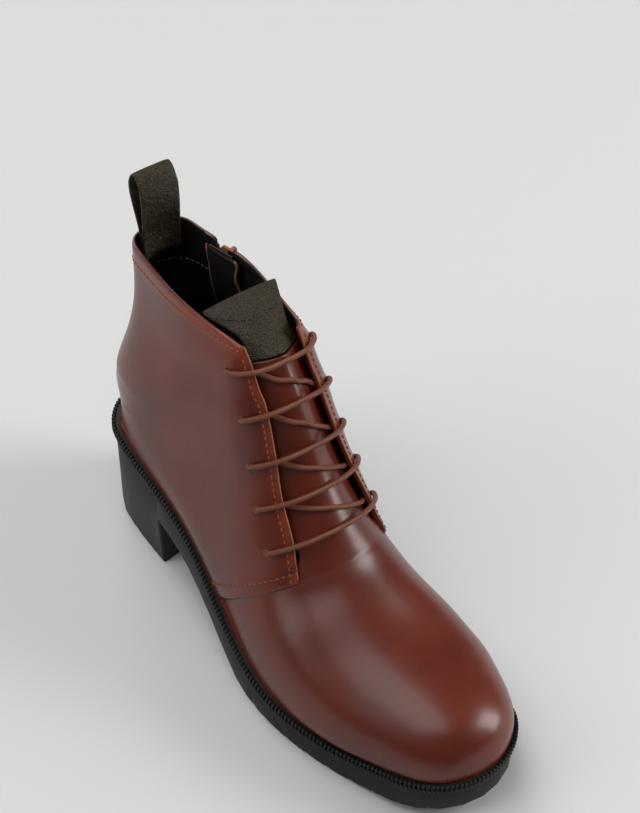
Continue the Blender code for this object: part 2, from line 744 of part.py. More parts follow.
def upper_shell():
    """The upper as one closed body: an outer face and an inner one, joined round its openings."""
    bm = bmesh.new()
    inner_place = bm.verts.layers.float_vector.new("inner")
    rows = section_rows()
    vamp_rows = [row for row in rows if row <= CORNER + 1e-9]
    quarter_rows = [CORNER + QUARTER_EDGE] + [row for row in rows if row > CORNER + 1e-9]
    for side in (1, -1):
        lines = []
        for row, first in [(row, 0) for row in vamp_rows] + [(row, 1) for row in quarter_rows]:
            line = [None] * (CROWN_COLUMNS * first)
            for outer, inner in upper_line(side, row, first):
                vert = bm.verts.new(world(*outer))
                vert[inner_place] = world(*inner)
                line.append(vert)
            lines.append(line)
        for low, high in zip(lines[:-1], lines[1:]):
            for j in range(min(len(low), len(high)) - 1):
                corners = (low[j], low[j + 1], high[j + 1], high[j])
                if None not in corners:
                    bm.faces.new(corners)
    bmesh.ops.remove_doubles(bm, verts=bm.verts, dist=2e-5)
    bmesh.ops.recalc_face_normals(bm, faces=bm.faces)
    if sum(face.normal.z * face.calc_area() for face in bm.faces) < 0:
        bmesh.ops.reverse_faces(bm, faces=bm.faces)
    rim = [edge for edge in bm.edges if len(edge.link_faces) == 1]
    copies = {vert: bm.verts.new(vert[inner_place]) for vert in list(bm.verts)}
    for face in list(bm.faces):
        bm.faces.new([copies[vert] for vert in reversed(face.verts)])
    for edge in rim:
        loop = edge.link_loops[0]
        first, second = loop.vert, loop.link_loop_next.vert
        bm.faces.new((second, first, copies[first], copies[second]))
    return bm


def build_upper(material, parts, cutters):
    upper = make_object("upper", upper_shell(), material, parts)
    holes = bmesh.new()
    for row in LACE_ROWS:
        for side in (1, -1):
            point = eyelet(side, row)
            along = eyelet_normal(side, row)
            turn = Vector((0, 0, 1)).rotation_difference(along).to_matrix().to_4x4()
            made = bmesh.ops.create_cone(holes, cap_ends=True, segments=8, radius1=EYELET_RADIUS,
                                         radius2=EYELET_RADIUS, depth=6 * WALL)["verts"]
            for vert in made:
                vert.co = turn @ vert.co + point
    add_cut(upper, make_cutter("lace_holes", holes, cutters))
    slot = bmesh.new()
    line = zip_samples(9)
    near = []
    far = []
    for i, (s, z) in enumerate(line):
        spread = ZIP_SLOT / 2 * (1.0 + 0.6 * smooth(1 - i / 1.5))
        for sign in (1, -1):
            near.append(slot.verts.new(world(s + sign * spread, -0.004, z)))
            far.append(slot.verts.new(world(s + sign * spread, -0.060, z)))
    count = len(line)
    for i in range(count - 1):
        a, b, c, d = 2 * i, 2 * i + 1, 2 * i + 3, 2 * i + 2
        slot.faces.new((near[a], near[b], near[c], near[d]))
        slot.faces.new((far[a], far[d], far[c], far[b]))
        slot.faces.new((near[a], near[d], far[d], far[a]))
        slot.faces.new((near[b], far[b], far[c], near[c]))
    slot.faces.new((near[0], far[0], far[1], near[1]))
    slot.faces.new((near[-2], near[-1], far[-1], far[-2]))
    face_outwards(slot)
    add_cut(upper, make_cutter("zip_slot", slot, cutters))
    return upper


def place_at(side, row, distance):
    """The column place that lies a distance along the surface behind the facing's edge."""
    travelled = 0.0
    last = form_point(side, row, 1.0)
    place = 1.0
    while travelled < distance and place < 3.5:
        place += 0.02
        point = form_point(side, row, place)
        travelled += np.linalg.norm(point - last)
        last = point
    return place


def eyelet(side, row):
    row += CORNER
    return world(*form_point(side, row, place_at(side, row, EYELET_INSET)))


def eyelet_normal(side, row):
    row += CORNER
    place = place_at(side, row, EYELET_INSET)
    return (world(*form_point(side, row, place, WALL)) - world(*form_point(side, row, place))).normalized()


def zip_samples(count):
    """Stations and heights evenly spaced down the zip's middle line."""
    knots = np.arange(len(ZIP_LINE))
    fine = np.linspace(0, knots[-1], 200)
    s = natural(knots, column(ZIP_LINE, 0))(fine) * LENGTH
    z = natural(knots, column(ZIP_LINE, 1))(fine) * COLLAR_HEIGHT
    along = np.concatenate([[0], np.cumsum(np.hypot(np.diff(s), np.diff(z)))])
    even = np.linspace(0, along[-1], count)
    return list(zip(np.interp(even, along, s), np.interp(even, along, z)))


def on_inner_side(tree, s, z):
    """Where the inner side's outer face is met at station s and height z, and its normal, in the scene's axes."""
    start = world(s, -0.200, z)
    place, normal, _, _ = tree.ray_cast(start, Vector((-1, 0, 0)))
    if normal.x < 0:
        normal = -normal
    return place, normal


def inner_frames(tree, first, last, count):
    """Points down the zip with their normals and across directions, in the scene's axes."""
    line = zip_samples(201)
    picks = [line[int(round(x))] for x in np.linspace(first * 200, last * 200, count)]
    spots = [on_inner_side(tree, s, z) for s, z in picks]
    normals = [normal for _, normal in spots]
    frames = []
    for i, (place, _) in enumerate(spots):
        near = normals[max(i - 1, 0):i + 2]
        normal = sum(near, Vector()).normalized()
        low = spots[max(i - 1, 0)][0]
        high = spots[min(i + 1, count - 1)][0]
        down = (high - low).normalized()
        across = normal.cross(down).normalized()
        frames.append((place, normal, across, normal.cross(across) * -1))
    return frames


def strip_on_zip(frames, width, outer, inner):
    """A closed strip that follows the zip, between two depths under the outer face."""
    bm = bmesh.new()
    corners = []
    for place, normal, across, _ in frames:
        corners.append([bm.verts.new(place + across * (width / 2 * a) + normal * depth)
                        for a, depth in ((-1, outer), (1, outer), (1, inner), (-1, inner))])
    for low, high in zip(corners[:-1], corners[1:]):
        for j in range(4):
            bm.faces.new((low[j], low[(j + 1) % 4], high[(j + 1) % 4], high[j]))
    bm.faces.new(corners[0])
    bm.faces.new(corners[-1])
    face_outwards(bm)
    return bm


def box_at(frame, size, centre):
    """A box in the frame of a point on the zip. Size and centre are along across, down and out."""
    place, normal, across, down = frame
    bm = bmesh.new()
    made = bmesh.ops.create_cube(bm, size=1.0)["verts"]
    for vert in made:
        local = [vert.co[i] * size[i] + centre[i] for i in range(3)]
        vert.co = place + across * local[0] + down * local[1] + normal * local[2]
    face_outwards(bm)
    return bm


def build_zip(materials, parts, cutters, tree):
    tape_face = -(WALL + GAP)
    frames = inner_frames(tree, 0.065, 0.965, 12)
    tape = strip_on_zip(frames, TAPE_WIDTH, tape_face - 2 * GAP, tape_face - 2 * GAP - TAPE_WALL)
    make_object("zip_tape", tape, materials["zip_tape"], parts)
    teeth_low = tape_face
    teeth = strip_on_zip(inner_frames(tree, 0.07, 0.93, 12), TEETH_WIDTH, teeth_low + TEETH_WALL, teeth_low)
    make_object("zip_teeth", teeth, materials["copper_metal"], parts)
    frame = inner_frames(tree, 0.075, 0.185, 3)[1]
    low = teeth_low + TEETH_WALL + 2 * GAP
    body = make_object("zip_slider", box_at(frame, (SLIDER_WIDTH, SLIDER_LENGTH, SLIDER_HEIGHT),
                                            (0, 0, low + SLIDER_HEIGHT / 2)), materials["copper_metal"], parts)
    bevel = body.modifiers.new("Edges", "BEVEL")
    bevel.width = 0.0005
    bevel.segments = 1
    top = low + SLIDER_HEIGHT
    bar_height = top + PULL_BAR + 2 * GAP
    post = BAIL_WALL
    inside = 2 * PULL_BAR + 4 * GAP
    under_roof = bar_height + PULL_BAR + 2 * GAP
    post_size = (BAIL_WIDTH, post, under_roof + post - top + GAP)
    post_middle = (under_roof + post + top - GAP) / 2
    for made in (
        box_at(frame, (BAIL_WIDTH, inside + 2 * post, post), (0, 0, under_roof + post / 2)),
        box_at(frame, post_size, (0, (inside + post) / 2, post_middle)),
        box_at(frame, post_size, (0, -(inside + post) / 2, post_middle)),
    ):
        mesh = bpy.data.meshes.new("bail part")
        made.to_mesh(mesh)
        made.free()
        piece = bpy.data.objects.new("bail_" + str(len(cutters.objects)), mesh)
        cutters.objects.link(piece)
        piece.hide_render = True
        piece.display_type = "WIRE"
        add_cut(body, piece, "UNION")
    plate = box_at(frame, (PULL_WIDTH, PULL_LENGTH, PULL_WALL), (0, PULL_LENGTH / 2 - PULL_WALL / 2, bar_height))
    pull = make_object("zip_pull", plate, materials["copper_metal"], parts)
    window = inside + 2 * post + 6 * GAP
    lower_start = window + PULL_WEB
    for name, length, start in (("bail_window", window, PULL_WALL / 2), ("pull_window", PULL_WINDOW, lower_start)):
        hole = box_at(frame, (WINDOW_WIDTH, length, 4 * PULL_WALL), (0, start + length / 2, bar_height))
        add_cut(pull, make_cutter(name, hole, cutters))


def tongue_half(side, row):
    """Half width of the tongue: inside the facings' edges at the throat, tucked under them above it."""
    gap = float(CURVES["gap", side](row))
    return gap - 5 * GAP + (TONGUE_TUCK + 5 * GAP) * smooth((row - CORNER - 0.9) / 0.6)


def tongue_point(share, row, depth=0.0):
    """A point across the tongue. Share runs -1 at its inner edge to 1 at its outer edge."""
    side = 1 if share >= 0 else -1
    gap = float(CURVES["gap", side](row))
    above = row - CORNER
    half = tongue_half(side, row)
    dip = TONGUE_DIP * smooth(above / 1.1)
    want = abs(share) * half
    front = float(CURVES["front", side](row))
    place = 0.0
    low, high = 0.0, 2.0
    for _ in range(26):
        place = (low + high) / 2
        if side * base_point(side, row, place)[1] < min(want, front * 0.96):
            low = place
        else:
            high = place
    spread = smooth(want / gap * 0.9)
    lift = -QUARTER_STEP - GAP / 3 - dip * spread - depth
    return form_point(side, row, 0.0 if want < 1e-6 else place, lift)


def build_tongue(materials, parts):
    rows = [CORNER + step for step in np.linspace(0.08, 6.55, 17)]
    shares = np.linspace(-1, 1, 11)
    outer = [[tongue_point(share, row) for share in shares] for row in rows]
    inner = [[tongue_point(share, row, TONGUE_WALL) for share in shares] for row in rows]
    make_object("tongue", slab(outer, inner), materials["burgundy_leather"], parts)
    base = [tongue_point(share, CORNER + 6.68) for share in shares]
    knots = np.linspace(0, 1, len(TONGUE_TOP) + 1)
    steps = np.linspace(0, 1, 9)
    grid = []
    for share, start in zip(shares, base):
        line_s = [start[0]]
        line_t = [start[1]]
        line_z = [start[2]]
        for station, height, half, crown in TONGUE_TOP:
            t = share * half * SHAFT_HALF + centre_line(COLLAR_HEIGHT)
            drop = crown * SHAFT_HALF * share * share
            line_s.append(station * LENGTH - drop * 0.5)
            line_t.append(t)
            line_z.append(height * COLLAR_HEIGHT - drop * 0.85)
        grid.append(np.stack([monotone(knots, line_s)(steps), monotone(knots, line_t)(steps),
                              natural(knots, line_z)(steps)], 1))
    outer = [[grid[j][i] for j in range(len(shares))] for i in range(len(steps))]
    inner = [[tongue_point(share, CORNER + 6.68, TONGUE_PAD) for share in shares]]
    for i in range(1, len(steps)):
        row = []
        for j in range(len(shares)):
            along = outer[min(i + 1, len(steps) - 1)][j] - outer[max(i - 1, 0)][j]
            across = outer[i][min(j + 1, len(shares) - 1)] - outer[i][max(j - 1, 0)]
            normal = np.cross(along, across)
            normal /= np.linalg.norm(normal)
            if normal[2] < 0:
                normal = -normal
            row.append(outer[i][j] - normal * TONGUE_PAD)
        inner.append(row)
    make_object("tongue_top", slab(outer, inner), materials["olive_leather"], parts)


def build_insole(material, parts):
    inset = WELT_LEDGE + WALL + 4 * GAP
    shares = np.linspace(0, 1, 21)

    def ring(rise):
        points = []
        for side, line in ((1, shares), (-1, shares[1:-1][::-1])):
            for share in line:
                s, t = edge_point(inset, side, share)
                points.append((s, t, seat(s) + GAP + rise))
        return points

    bm = ring_body([ring(0.0), ring(INSOLE_WALL)], len(shares), 4)
    make_object("insole", bm, material, parts)


def build_loop(material, parts):
    """A strap folded double, both legs inside the collar's back, opening into a drop above it."""
    root_s = float(CURVES["back_s"](COLLAR)) + WALL + 1.5 * GAP + LOOP_WALL
    root_z = float(CURVES["back_z"](COLLAR))
    knots = np.arange(len(LOOP_SHAPE))
    steps = np.linspace(0, knots[-1], 25)
    path = np.stack([root_s + natural(knots, column(LOOP_SHAPE, 0))(steps) * LOOP_RISE,
                     root_z + natural(knots, column(LOOP_SHAPE, 1))(steps) * LOOP_RISE], 1)
    ahead = np.gradient(path, axis=0)
    ahead /= np.linalg.norm(ahead, axis=1)[:, None]
    aside = np.stack([-ahead[:, 1], ahead[:, 0]], 1) * LOOP_WALL / 2
    faces = ([], [])
    for point, off in zip(path, aside):
        bow = LOOP_BOW * (1 - smooth((point[1] - root_z) / LOOP_RISE * 1.4))
        for line, place in zip(faces, (point + off, point - off)):
            line.append([(place[0] + bow * share * share, share * LOOP_HALF - SHAFT_LEAN / 4, place[1])
                         for share in np.linspace(-1, 1, 7)])
    make_object("pull_loop", slab(*faces), material, parts)


def lace_tube(name, points, material, parts):
    """A cord as a curve with a round bevel and closed ends."""
    data = bpy.data.curves.new(name, "CURVE")
    data.dimensions = "3D"
    line = data.splines.new("POLY")
    line.points.add(len(points) - 1)
    for spot, point in zip(line.points, points):
        spot.co = (*world(*point), 1.0)
    data.bevel_depth = LACE_RADIUS
    data.bevel_resolution = 1
    data.use_fill_caps = True
    data.materials.append(material)
    obj = bpy.data.objects.new(name, data)
    parts.objects.link(obj)
    return obj


def virtual_point(signed, row, lift):
    """A point over the throat: signed runs -1 at the inner facing's edge, 0 at the crown, 1 at the outer edge."""
    side = 1 if signed >= 0 else -1
    return form_point(side, row, abs(signed), lift)


def build_laces(material, parts):
    over = LACE_RADIUS + 2 * GAP
    crest = LACE_RADIUS + 2 * GAP - QUARTER_STEP
    for i, row in enumerate(LACE_ROWS):
        points = []
        centre_row = CORNER + row
        ends = [place_at(side, centre_row, EYELET_INSET) for side in (-1, 1)]
        for place in np.linspace(ends[0], 1.0, 4)[:-1]:
            points.append(form_point(-1, centre_row, place, over))
        for signed in np.linspace(-1, 1, 9):
            lift = crest + (over - crest) * smooth(abs(signed))
            points.append(virtual_point(signed, centre_row, lift))
        for place in np.linspace(1.0, ends[1], 4)[1:]:
            points.append(form_point(1, centre_row, place, over))
        lace_tube(f"lace_bar_{i + 1}", points, material, parts)
    for i, (high, low) in enumerate(zip(LACE_ROWS[:-1], LACE_ROWS[1:])):
        points = []
        for part in np.linspace(0.12, 0.88, 9):
            row = CORNER + high + (low - high) * part
            share = 1 - 2 * part
            side = 1 if share >= 0 else -1
            gap = float(CURVES["gap", side](row))
            reach = share * gap * 1.15 / tongue_half(side, row)
            points.append(tongue_point(reach, row, -(LACE_RADIUS + 2 * GAP)))
        lace_tube(f"lace_cross_{i + 1}", points, material, parts)


def main():
    for obj in list(bpy.data.objects):
        bpy.data.objects.remove(obj, do_unlink=True)
    parts = bpy.data.collections.new(OBJECT)
    cutters = bpy.data.collections.new("cutters")
    bpy.context.scene.collection.children.link(parts)
    bpy.context.scene.collection.children.link(cutters)
    materials = {name: make_material(name) for name in FINISHES}
    shell = upper_shell()
    tree = BVHTree.FromBMesh(shell)
    shell.free()
    build_outsole(materials["rubber"], parts, cutters)
    build_welt(materials["rubber"], parts)
    build_upper(materials["burgundy_leather"], parts, cutters)
    build_tongue(materials, parts)
    build_insole(materials["insole_leather"], parts)
    build_loop(materials["olive_leather"], parts)
    build_zip(materials, parts, cutters, tree)
    build_laces(materials["waxed_cord"], parts)


main()
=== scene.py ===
"""Looks of a lace up ankle boot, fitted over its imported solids.

Metres, +Z up. The toe points along -Y. The outer side of the foot is -X and the zip is on the inner side, +X.
"""
import math

import bmesh
import bpy
from mathutils import Matrix, Quaternion, Vector
from mathutils.bvhtree import BVHTree
from mathutils.kdtree import KDTree


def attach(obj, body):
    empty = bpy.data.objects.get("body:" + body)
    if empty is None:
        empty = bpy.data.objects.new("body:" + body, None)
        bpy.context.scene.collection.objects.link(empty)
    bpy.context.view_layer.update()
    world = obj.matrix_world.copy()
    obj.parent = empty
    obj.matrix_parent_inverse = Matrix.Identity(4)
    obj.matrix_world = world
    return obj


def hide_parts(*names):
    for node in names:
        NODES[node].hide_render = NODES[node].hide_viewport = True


bl_info = {
    "name": "Lace up ankle boot",
    "version": (1, 0, 0),
    "blender": (4, 5, 0),
    "location": "3D View > Sidebar > Boot",
    "description": "Leather, laces, seams, welt and zip of a lace up ankle boot",
    "category": "Object",
}

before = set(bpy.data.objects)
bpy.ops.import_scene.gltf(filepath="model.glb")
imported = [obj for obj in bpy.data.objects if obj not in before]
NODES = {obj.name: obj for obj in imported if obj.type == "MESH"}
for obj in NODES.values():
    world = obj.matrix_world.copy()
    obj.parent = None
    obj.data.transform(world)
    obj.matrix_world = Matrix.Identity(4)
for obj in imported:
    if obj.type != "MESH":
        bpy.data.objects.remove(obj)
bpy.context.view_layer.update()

# Middle lines of the lace's five bars, from the hole on the inner side to the hole on the outer side.
BARS = (
    (
        (0.0203, 0.0336, 0.1472), (0.0236, 0.0330, 0.1483), (0.0252, 0.0317, 0.1493),
        (0.0224, 0.0272, 0.1508), (0.0166, 0.0233, 0.1521), (0.0126, 0.0222, 0.1525),
        (0.0084, 0.0219, 0.1525), (0.0040, 0.0219, 0.1525), (-0.0016, 0.0220, 0.1525),
        (-0.0068, 0.0227, 0.1523), (-0.0115, 0.0245, 0.1517), (-0.0168, 0.0289, 0.1502),
        (-0.0190, 0.0339, 0.1485), (-0.0171, 0.0349, 0.1476), (-0.0138, 0.0349, 0.1466),
    ),
    (
        (0.0220, 0.0232, 0.1289), (0.0253, 0.0221, 0.1296), (0.0264, 0.0202, 0.1309),
        (0.0235, 0.0167, 0.1332), (0.0182, 0.0132, 0.1355), (0.0136, 0.0117, 0.1365),
        (0.0088, 0.0112, 0.1368), (0.0038, 0.0111, 0.1369), (-0.0016, 0.0112, 0.1368),
        (-0.0067, 0.0117, 0.1365), (-0.0116, 0.0132, 0.1355), (-0.0171, 0.0165, 0.1334),
        (-0.0201, 0.0198, 0.1312), (-0.0192, 0.0217, 0.1298), (-0.0160, 0.0229, 0.1289),
    ),
    (
        (0.0235, 0.0139, 0.1095), (0.0268, 0.0130, 0.1102), (0.0280, 0.0111, 0.1114),
        (0.0253, 0.0074, 0.1138), (0.0204, 0.0036, 0.1162), (0.0151, 0.0014, 0.1176),
        (0.0095, 0.0004, 0.1183), (0.0034, 0.0002, 0.1184), (-0.0028, 0.0004, 0.1183),
        (-0.0086, 0.0012, 0.1178), (-0.0141, 0.0031, 0.1165), (-0.0194, 0.0066, 0.1143),
        (-0.0223, 0.0100, 0.1122), (-0.0213, 0.0120, 0.1108), (-0.0181, 0.0131, 0.1099),
    ),
    (
        (0.0261, 0.0058, 0.0912), (0.0295, 0.0052, 0.0920), (0.0307, 0.0033, 0.0934),
        (0.0284, -0.0005, 0.0959), (0.0240, -0.0047, 0.0986), (0.0176, -0.0082, 0.1008),
        (0.0106, -0.0100, 0.1018), (0.0030, -0.0105, 0.1021), (-0.0042, -0.0102, 0.1020),
        (-0.0110, -0.0090, 0.1013), (-0.0172, -0.0064, 0.0997), (-0.0224, -0.0027, 0.0974),
        (-0.0253, 0.0006, 0.0953), (-0.0246, 0.0027, 0.0935), (-0.0213, 0.0035, 0.0922),
    ),
    (
        (0.0288, -0.0035, 0.0739), (0.0323, -0.0040, 0.0743), (0.0336, -0.0059, 0.0758),
        (0.0317, -0.0097, 0.0785), (0.0279, -0.0142, 0.0817), (0.0205, -0.0194, 0.0854),
        (0.0121, -0.0222, 0.0873), (0.0027, -0.0230, 0.0879), (-0.0054, -0.0226, 0.0877),
        (-0.0130, -0.0213, 0.0868), (-0.0200, -0.0185, 0.0848), (-0.0251, -0.0152, 0.0825),
        (-0.0278, -0.0125, 0.0805), (-0.0275, -0.0101, 0.0786), (-0.0243, -0.0090, 0.0775),
    ),
)

# Middle lines of the four crosses, each under the bars from one hole to the next one down.
CROSSES = (
    (
        (-0.0115, 0.0302, 0.1488), (-0.0083, 0.0268, 0.1481), (-0.0052, 0.0230, 0.1471),
        (-0.0016, 0.0194, 0.1461), (0.0039, 0.0171, 0.1450), (0.0068, 0.0166, 0.1431),
        (0.0109, 0.0174, 0.1404), (0.0146, 0.0183, 0.1366), (0.0187, 0.0189, 0.1319),
    ),
    (
        (-0.0119, 0.0185, 0.1320), (-0.0086, 0.0156, 0.1317), (-0.0055, 0.0120, 0.1310),
        (-0.0019, 0.0085, 0.1299), (0.0036, 0.0060, 0.1281), (0.0074, 0.0054, 0.1250),
        (0.0120, 0.0061, 0.1211), (0.0164, 0.0076, 0.1167), (0.0210, 0.0099, 0.1123),
    ),
    (
        (-0.0148, 0.0089, 0.1128), (-0.0109, 0.0052, 0.1125), (-0.0072, 0.0012, 0.1119),
        (-0.0028, -0.0025, 0.1111), (0.0032, -0.0049, 0.1096), (0.0083, -0.0053, 0.1069),
        (0.0139, -0.0040, 0.1031), (0.0192, -0.0016, 0.0985), (0.0249, 0.0028, 0.0932),
    ),
    (
        (-0.0185, -0.0004, 0.0949), (-0.0137, -0.0053, 0.0956), (-0.0090, -0.0100, 0.0960),
        (-0.0037, -0.0140, 0.0960), (0.0028, -0.0166, 0.0950), (0.0094, -0.0172, 0.0923),
        (0.0160, -0.0156, 0.0881), (0.0224, -0.0121, 0.0827), (0.0298, -0.0040, 0.0743),
    ),
)

# Upper outer edge of the welt, once round from the heel's back.
WELT_EDGE = (
    (0.0024, 0.1310, 0.0597), (-0.0099, 0.1281, 0.0594), (-0.0216, 0.1231, 0.0588),
    (-0.0299, 0.1138, 0.0578), (-0.0329, 0.1014, 0.0565), (-0.0341, 0.0888, 0.0552),
    (-0.0347, 0.0761, 0.0538), (-0.0353, 0.0633, 0.0519), (-0.0361, 0.0506, 0.0490),
    (-0.0374, 0.0380, 0.0449), (-0.0393, 0.0254, 0.0398), (-0.0415, 0.0129, 0.0344),
    (-0.0437, 0.0003, 0.0289), (-0.0456, -0.0123, 0.0241), (-0.0468, -0.0249, 0.0204),
    (-0.0468, -0.0376, 0.0183), (-0.0454, -0.0503, 0.0175), (-0.0428, -0.0628, 0.0174),
    (-0.0394, -0.0750, 0.0177), (-0.0355, -0.0871, 0.0194), (-0.0314, -0.0992, 0.0216),
    (-0.0268, -0.1110, 0.0237), (-0.0196, -0.1215, 0.0257), (-0.0092, -0.1287, 0.0271),
    (0.0032, -0.1311, 0.0275), (0.0155, -0.1286, 0.0270), (0.0266, -0.1225, 0.0259),
    (0.0350, -0.1132, 0.0241), (0.0398, -0.1016, 0.0220), (0.0431, -0.0894, 0.0198),
    (0.0458, -0.0770, 0.0179), (0.0472, -0.0644, 0.0174), (0.0470, -0.0518, 0.0174),
    (0.0455, -0.0392, 0.0182), (0.0430, -0.0268, 0.0200), (0.0399, -0.0146, 0.0233),
    (0.0369, -0.0023, 0.0278), (0.0345, 0.0101, 0.0332), (0.0330, 0.0227, 0.0387),
    (0.0324, 0.0353, 0.0439), (0.0327, 0.0480, 0.0482), (0.0335, 0.0606, 0.0513),
    (0.0344, 0.0732, 0.0534), (0.0349, 0.0858, 0.0549), (0.0343, 0.0985, 0.0562),
    (0.0318, 0.1108, 0.0575), (0.0253, 0.1215, 0.0587), (0.0146, 0.1282, 0.0594),
)

# Line of each facing's raw edge, from its lower corner to the collar.
OUTER_EDGE = (
    (-0.0226, -0.0258, 0.0720), (-0.0207, -0.0212, 0.0782), (-0.0187, -0.0160, 0.0865),
    (-0.0161, -0.0040, 0.1010), (-0.0130, 0.0057, 0.1188), (-0.0108, 0.0154, 0.1368),
    (-0.0108, 0.0203, 0.1429), (-0.0108, 0.0248, 0.1499), (-0.0108, 0.0279, 0.1551),
    (-0.0109, 0.0319, 0.1597),
)
INNER_EDGE = (
    (0.0309, -0.0192, 0.0660), (0.0287, -0.0158, 0.0740), (0.0262, -0.0123, 0.0839),
    (0.0226, -0.0026, 0.1002), (0.0192, 0.0060, 0.1186), (0.0173, 0.0154, 0.1368),
    (0.0165, 0.0196, 0.1433), (0.0161, 0.0238, 0.1503), (0.0159, 0.0264, 0.1554),
    (0.0157, 0.0289, 0.1599),
)

# Seam lines on the leather.
OUTER_FACING_SEAM = (
    (-0.0251, -0.0243, 0.0706), (-0.0232, -0.0197, 0.0770), (-0.0217, -0.0142, 0.0853),
    (-0.0185, -0.0024, 0.1001), (-0.0156, 0.0072, 0.1179), (-0.0134, 0.0168, 0.1359),
    (-0.0136, 0.0220, 0.1420), (-0.0133, 0.0264, 0.1493), (-0.0131, 0.0299, 0.1547),
)
INNER_FACING_SEAM = (
    (0.0325, -0.0170, 0.0641), (0.0305, -0.0135, 0.0722), (0.0282, -0.0101, 0.0825),
    (0.0248, -0.0007, 0.0990), (0.0219, 0.0078, 0.1175), (0.0201, 0.0169, 0.1358),
    (0.0192, 0.0210, 0.1425), (0.0188, 0.0252, 0.1498), (0.0185, 0.0282, 0.1551),
)
OUTER_COLLAR_SEAM = (
    (-0.0131, 0.0340, 0.1577), (-0.0139, 0.0383, 0.1573), (-0.0174, 0.0589, 0.1554),
    (-0.0183, 0.0796, 0.1535), (-0.0146, 0.1071, 0.1509), (-0.0132, 0.1169, 0.1500),
    (-0.0091, 0.1215, 0.1495), (-0.0045, 0.1232, 0.1494),
)
INNER_COLLAR_SEAM = (
    (0.0190, 0.0320, 0.1580), (0.0209, 0.0383, 0.1573), (0.0245, 0.0589, 0.1554),
    (0.0248, 0.0796, 0.1535), (0.0243, 0.0870, 0.1530),
)
BACK_COLLAR_SEAM = (
    (0.0212, 0.1030, 0.1513), (0.0202, 0.1071, 0.1509), (0.0190, 0.1169, 0.1500),
    (0.0153, 0.1215, 0.1495), (0.0114, 0.1232, 0.1494), (0.0061, 0.1237, 0.1493),
)
OUTER_QUARTER_SEAM = (
    (-0.0219, -0.0239, 0.0742), (-0.0291, -0.0185, 0.0696), (-0.0345, -0.0118, 0.0639),
    (-0.0379, -0.0040, 0.0573), (-0.0391, 0.0049, 0.0498), (-0.0393, 0.0086, 0.0467),
    (-0.0390, 0.0137, 0.0424), (-0.0386, 0.0166, 0.0399),
)
INNER_QUARTER_SEAM = (
    (0.0300, -0.0177, 0.0689), (0.0333, -0.0128, 0.0648), (0.0357, -0.0074, 0.0602),
    (0.0372, -0.0015, 0.0553), (0.0377, 0.0050, 0.0498), (0.0372, 0.0087, 0.0467),
    (0.0361, 0.0139, 0.0422), (0.0340, 0.0169, 0.0398),
)

# Curved seam of the lining round the heel, on its inner face.
LINING_SEAM = (
    (0.0023, 0.1200, 0.1383), (0.0076, 0.1197, 0.1380), (0.0133, 0.1185, 0.1367),
    (0.0173, 0.1147, 0.1359), (0.0190, 0.1081, 0.1365), (0.0198, 0.1019, 0.1366),
    (0.0207, 0.0977, 0.1344), (0.0218, 0.0968, 0.1284),
)

# Middle line of the zip from the collar down, along the boot and up.
ZIP_LINE = (
    (0.0943, 0.1616), (0.0931, 0.1518), (0.0919, 0.1420), (0.0907, 0.1322), (0.0894, 0.1224),
    (0.0880, 0.1126), (0.0866, 0.1028), (0.0852, 0.0930), (0.0838, 0.0832),
)

# A line through the hollow of the boot, from the toe to the collar.
HOLLOW = (
    (0.0030, -0.1100, 0.0300), (0.0030, -0.0350, 0.0400), (0.0030, 0.0200, 0.0600),
    (0.0030, 0.0800, 0.0900), (0.0030, 0.0800, 0.1700),
)

# Middles of the punched holes, outer side and then inner side, from the top down.
EYELETS = (
    (-0.0181, 0.0348, 0.1479), (-0.0201, 0.0213, 0.1301), (-0.0222, 0.0116, 0.1111),
    (-0.0254, 0.0023, 0.0939), (-0.0283, -0.0105, 0.0790), (0.0245, 0.0328, 0.1486),
    (0.0262, 0.0217, 0.1299), (0.0277, 0.0127, 0.1104), (0.0304, 0.0050, 0.0923),
    (0.0332, -0.0042, 0.0746),
)

# Solids' edges sharper than this angle in degrees stay firm when a copy is rounded. Above the collar's
# level they are folded leather and stay less firm.
SHARP_ANGLE = 40.0
FIRM_CREASE = 0.85
FOLD_CREASE = 0.2975
COLLAR_LEVEL = 0.146

# Part of the upper that is evened out round the heel: lowest and highest level, and its front.
COUNTER_LOW = 0.0590
COUNTER_HIGH = 0.0900
COUNTER_FRONT = 0.070

# Faces whose normal turns this far into the hollow are lining.
LINING_TURN = -0.25

# The folded leather's lighter colour: how far it reaches from the edge, over what width it fades, and
# its share of the colour.
FOLD_REACH = 0.0042
FOLD_FADE = 0.0016
FOLD_SHARE = 0.85

# The leather between vamp and tongue: columns across, step along it, direction that its places are
# looked for in, and rows over which it rises from the vamp. The vamp is followed from the start, behind
# the facings' lower corners, until its surface jumps at its rim or the end is reached. Its points counted
# back from the rim, and the places further on, are what each column's line runs through.
THROAT_COLUMNS = 28
THROAT_STEP = 0.0005
THROAT_LOOK = (0.0, -0.62, 0.785)
THROAT_RISE_ROWS = 9
THROAT_START = -0.0160
THROAT_END = 0.0120
RIM_JUMP = 0.0004
POINTS_BEFORE_RIM = (18, 13, 8, 4, 0)
REACH_TO_TONGUE = (0.0115, 0.0140, 0.0170)

# Raw edges: radius of the facings' cut edge, and the large and small radius of the ring in a punched hole.
EDGE_RADIUS = 0.00038
HOLE_RADIUS = 0.00150
HOLE_EDGE = 0.00030

# Ribs of the welt: level below its edge, slant along it, and length, depth and height of one rib. Their
# middles lie this far inside the edge.
RIB_ROWS = (
    (-0.00040, 0.25, (0.0015, 0.0019, 0.0014)),
    (-0.00285, -0.60, (0.0012, 0.0019, 0.0031)),
)
RIB_SINK = 0.00070

# A point that the welt's line runs round.
WELT_CENTRE = (0.003, 0.0, 0.0)

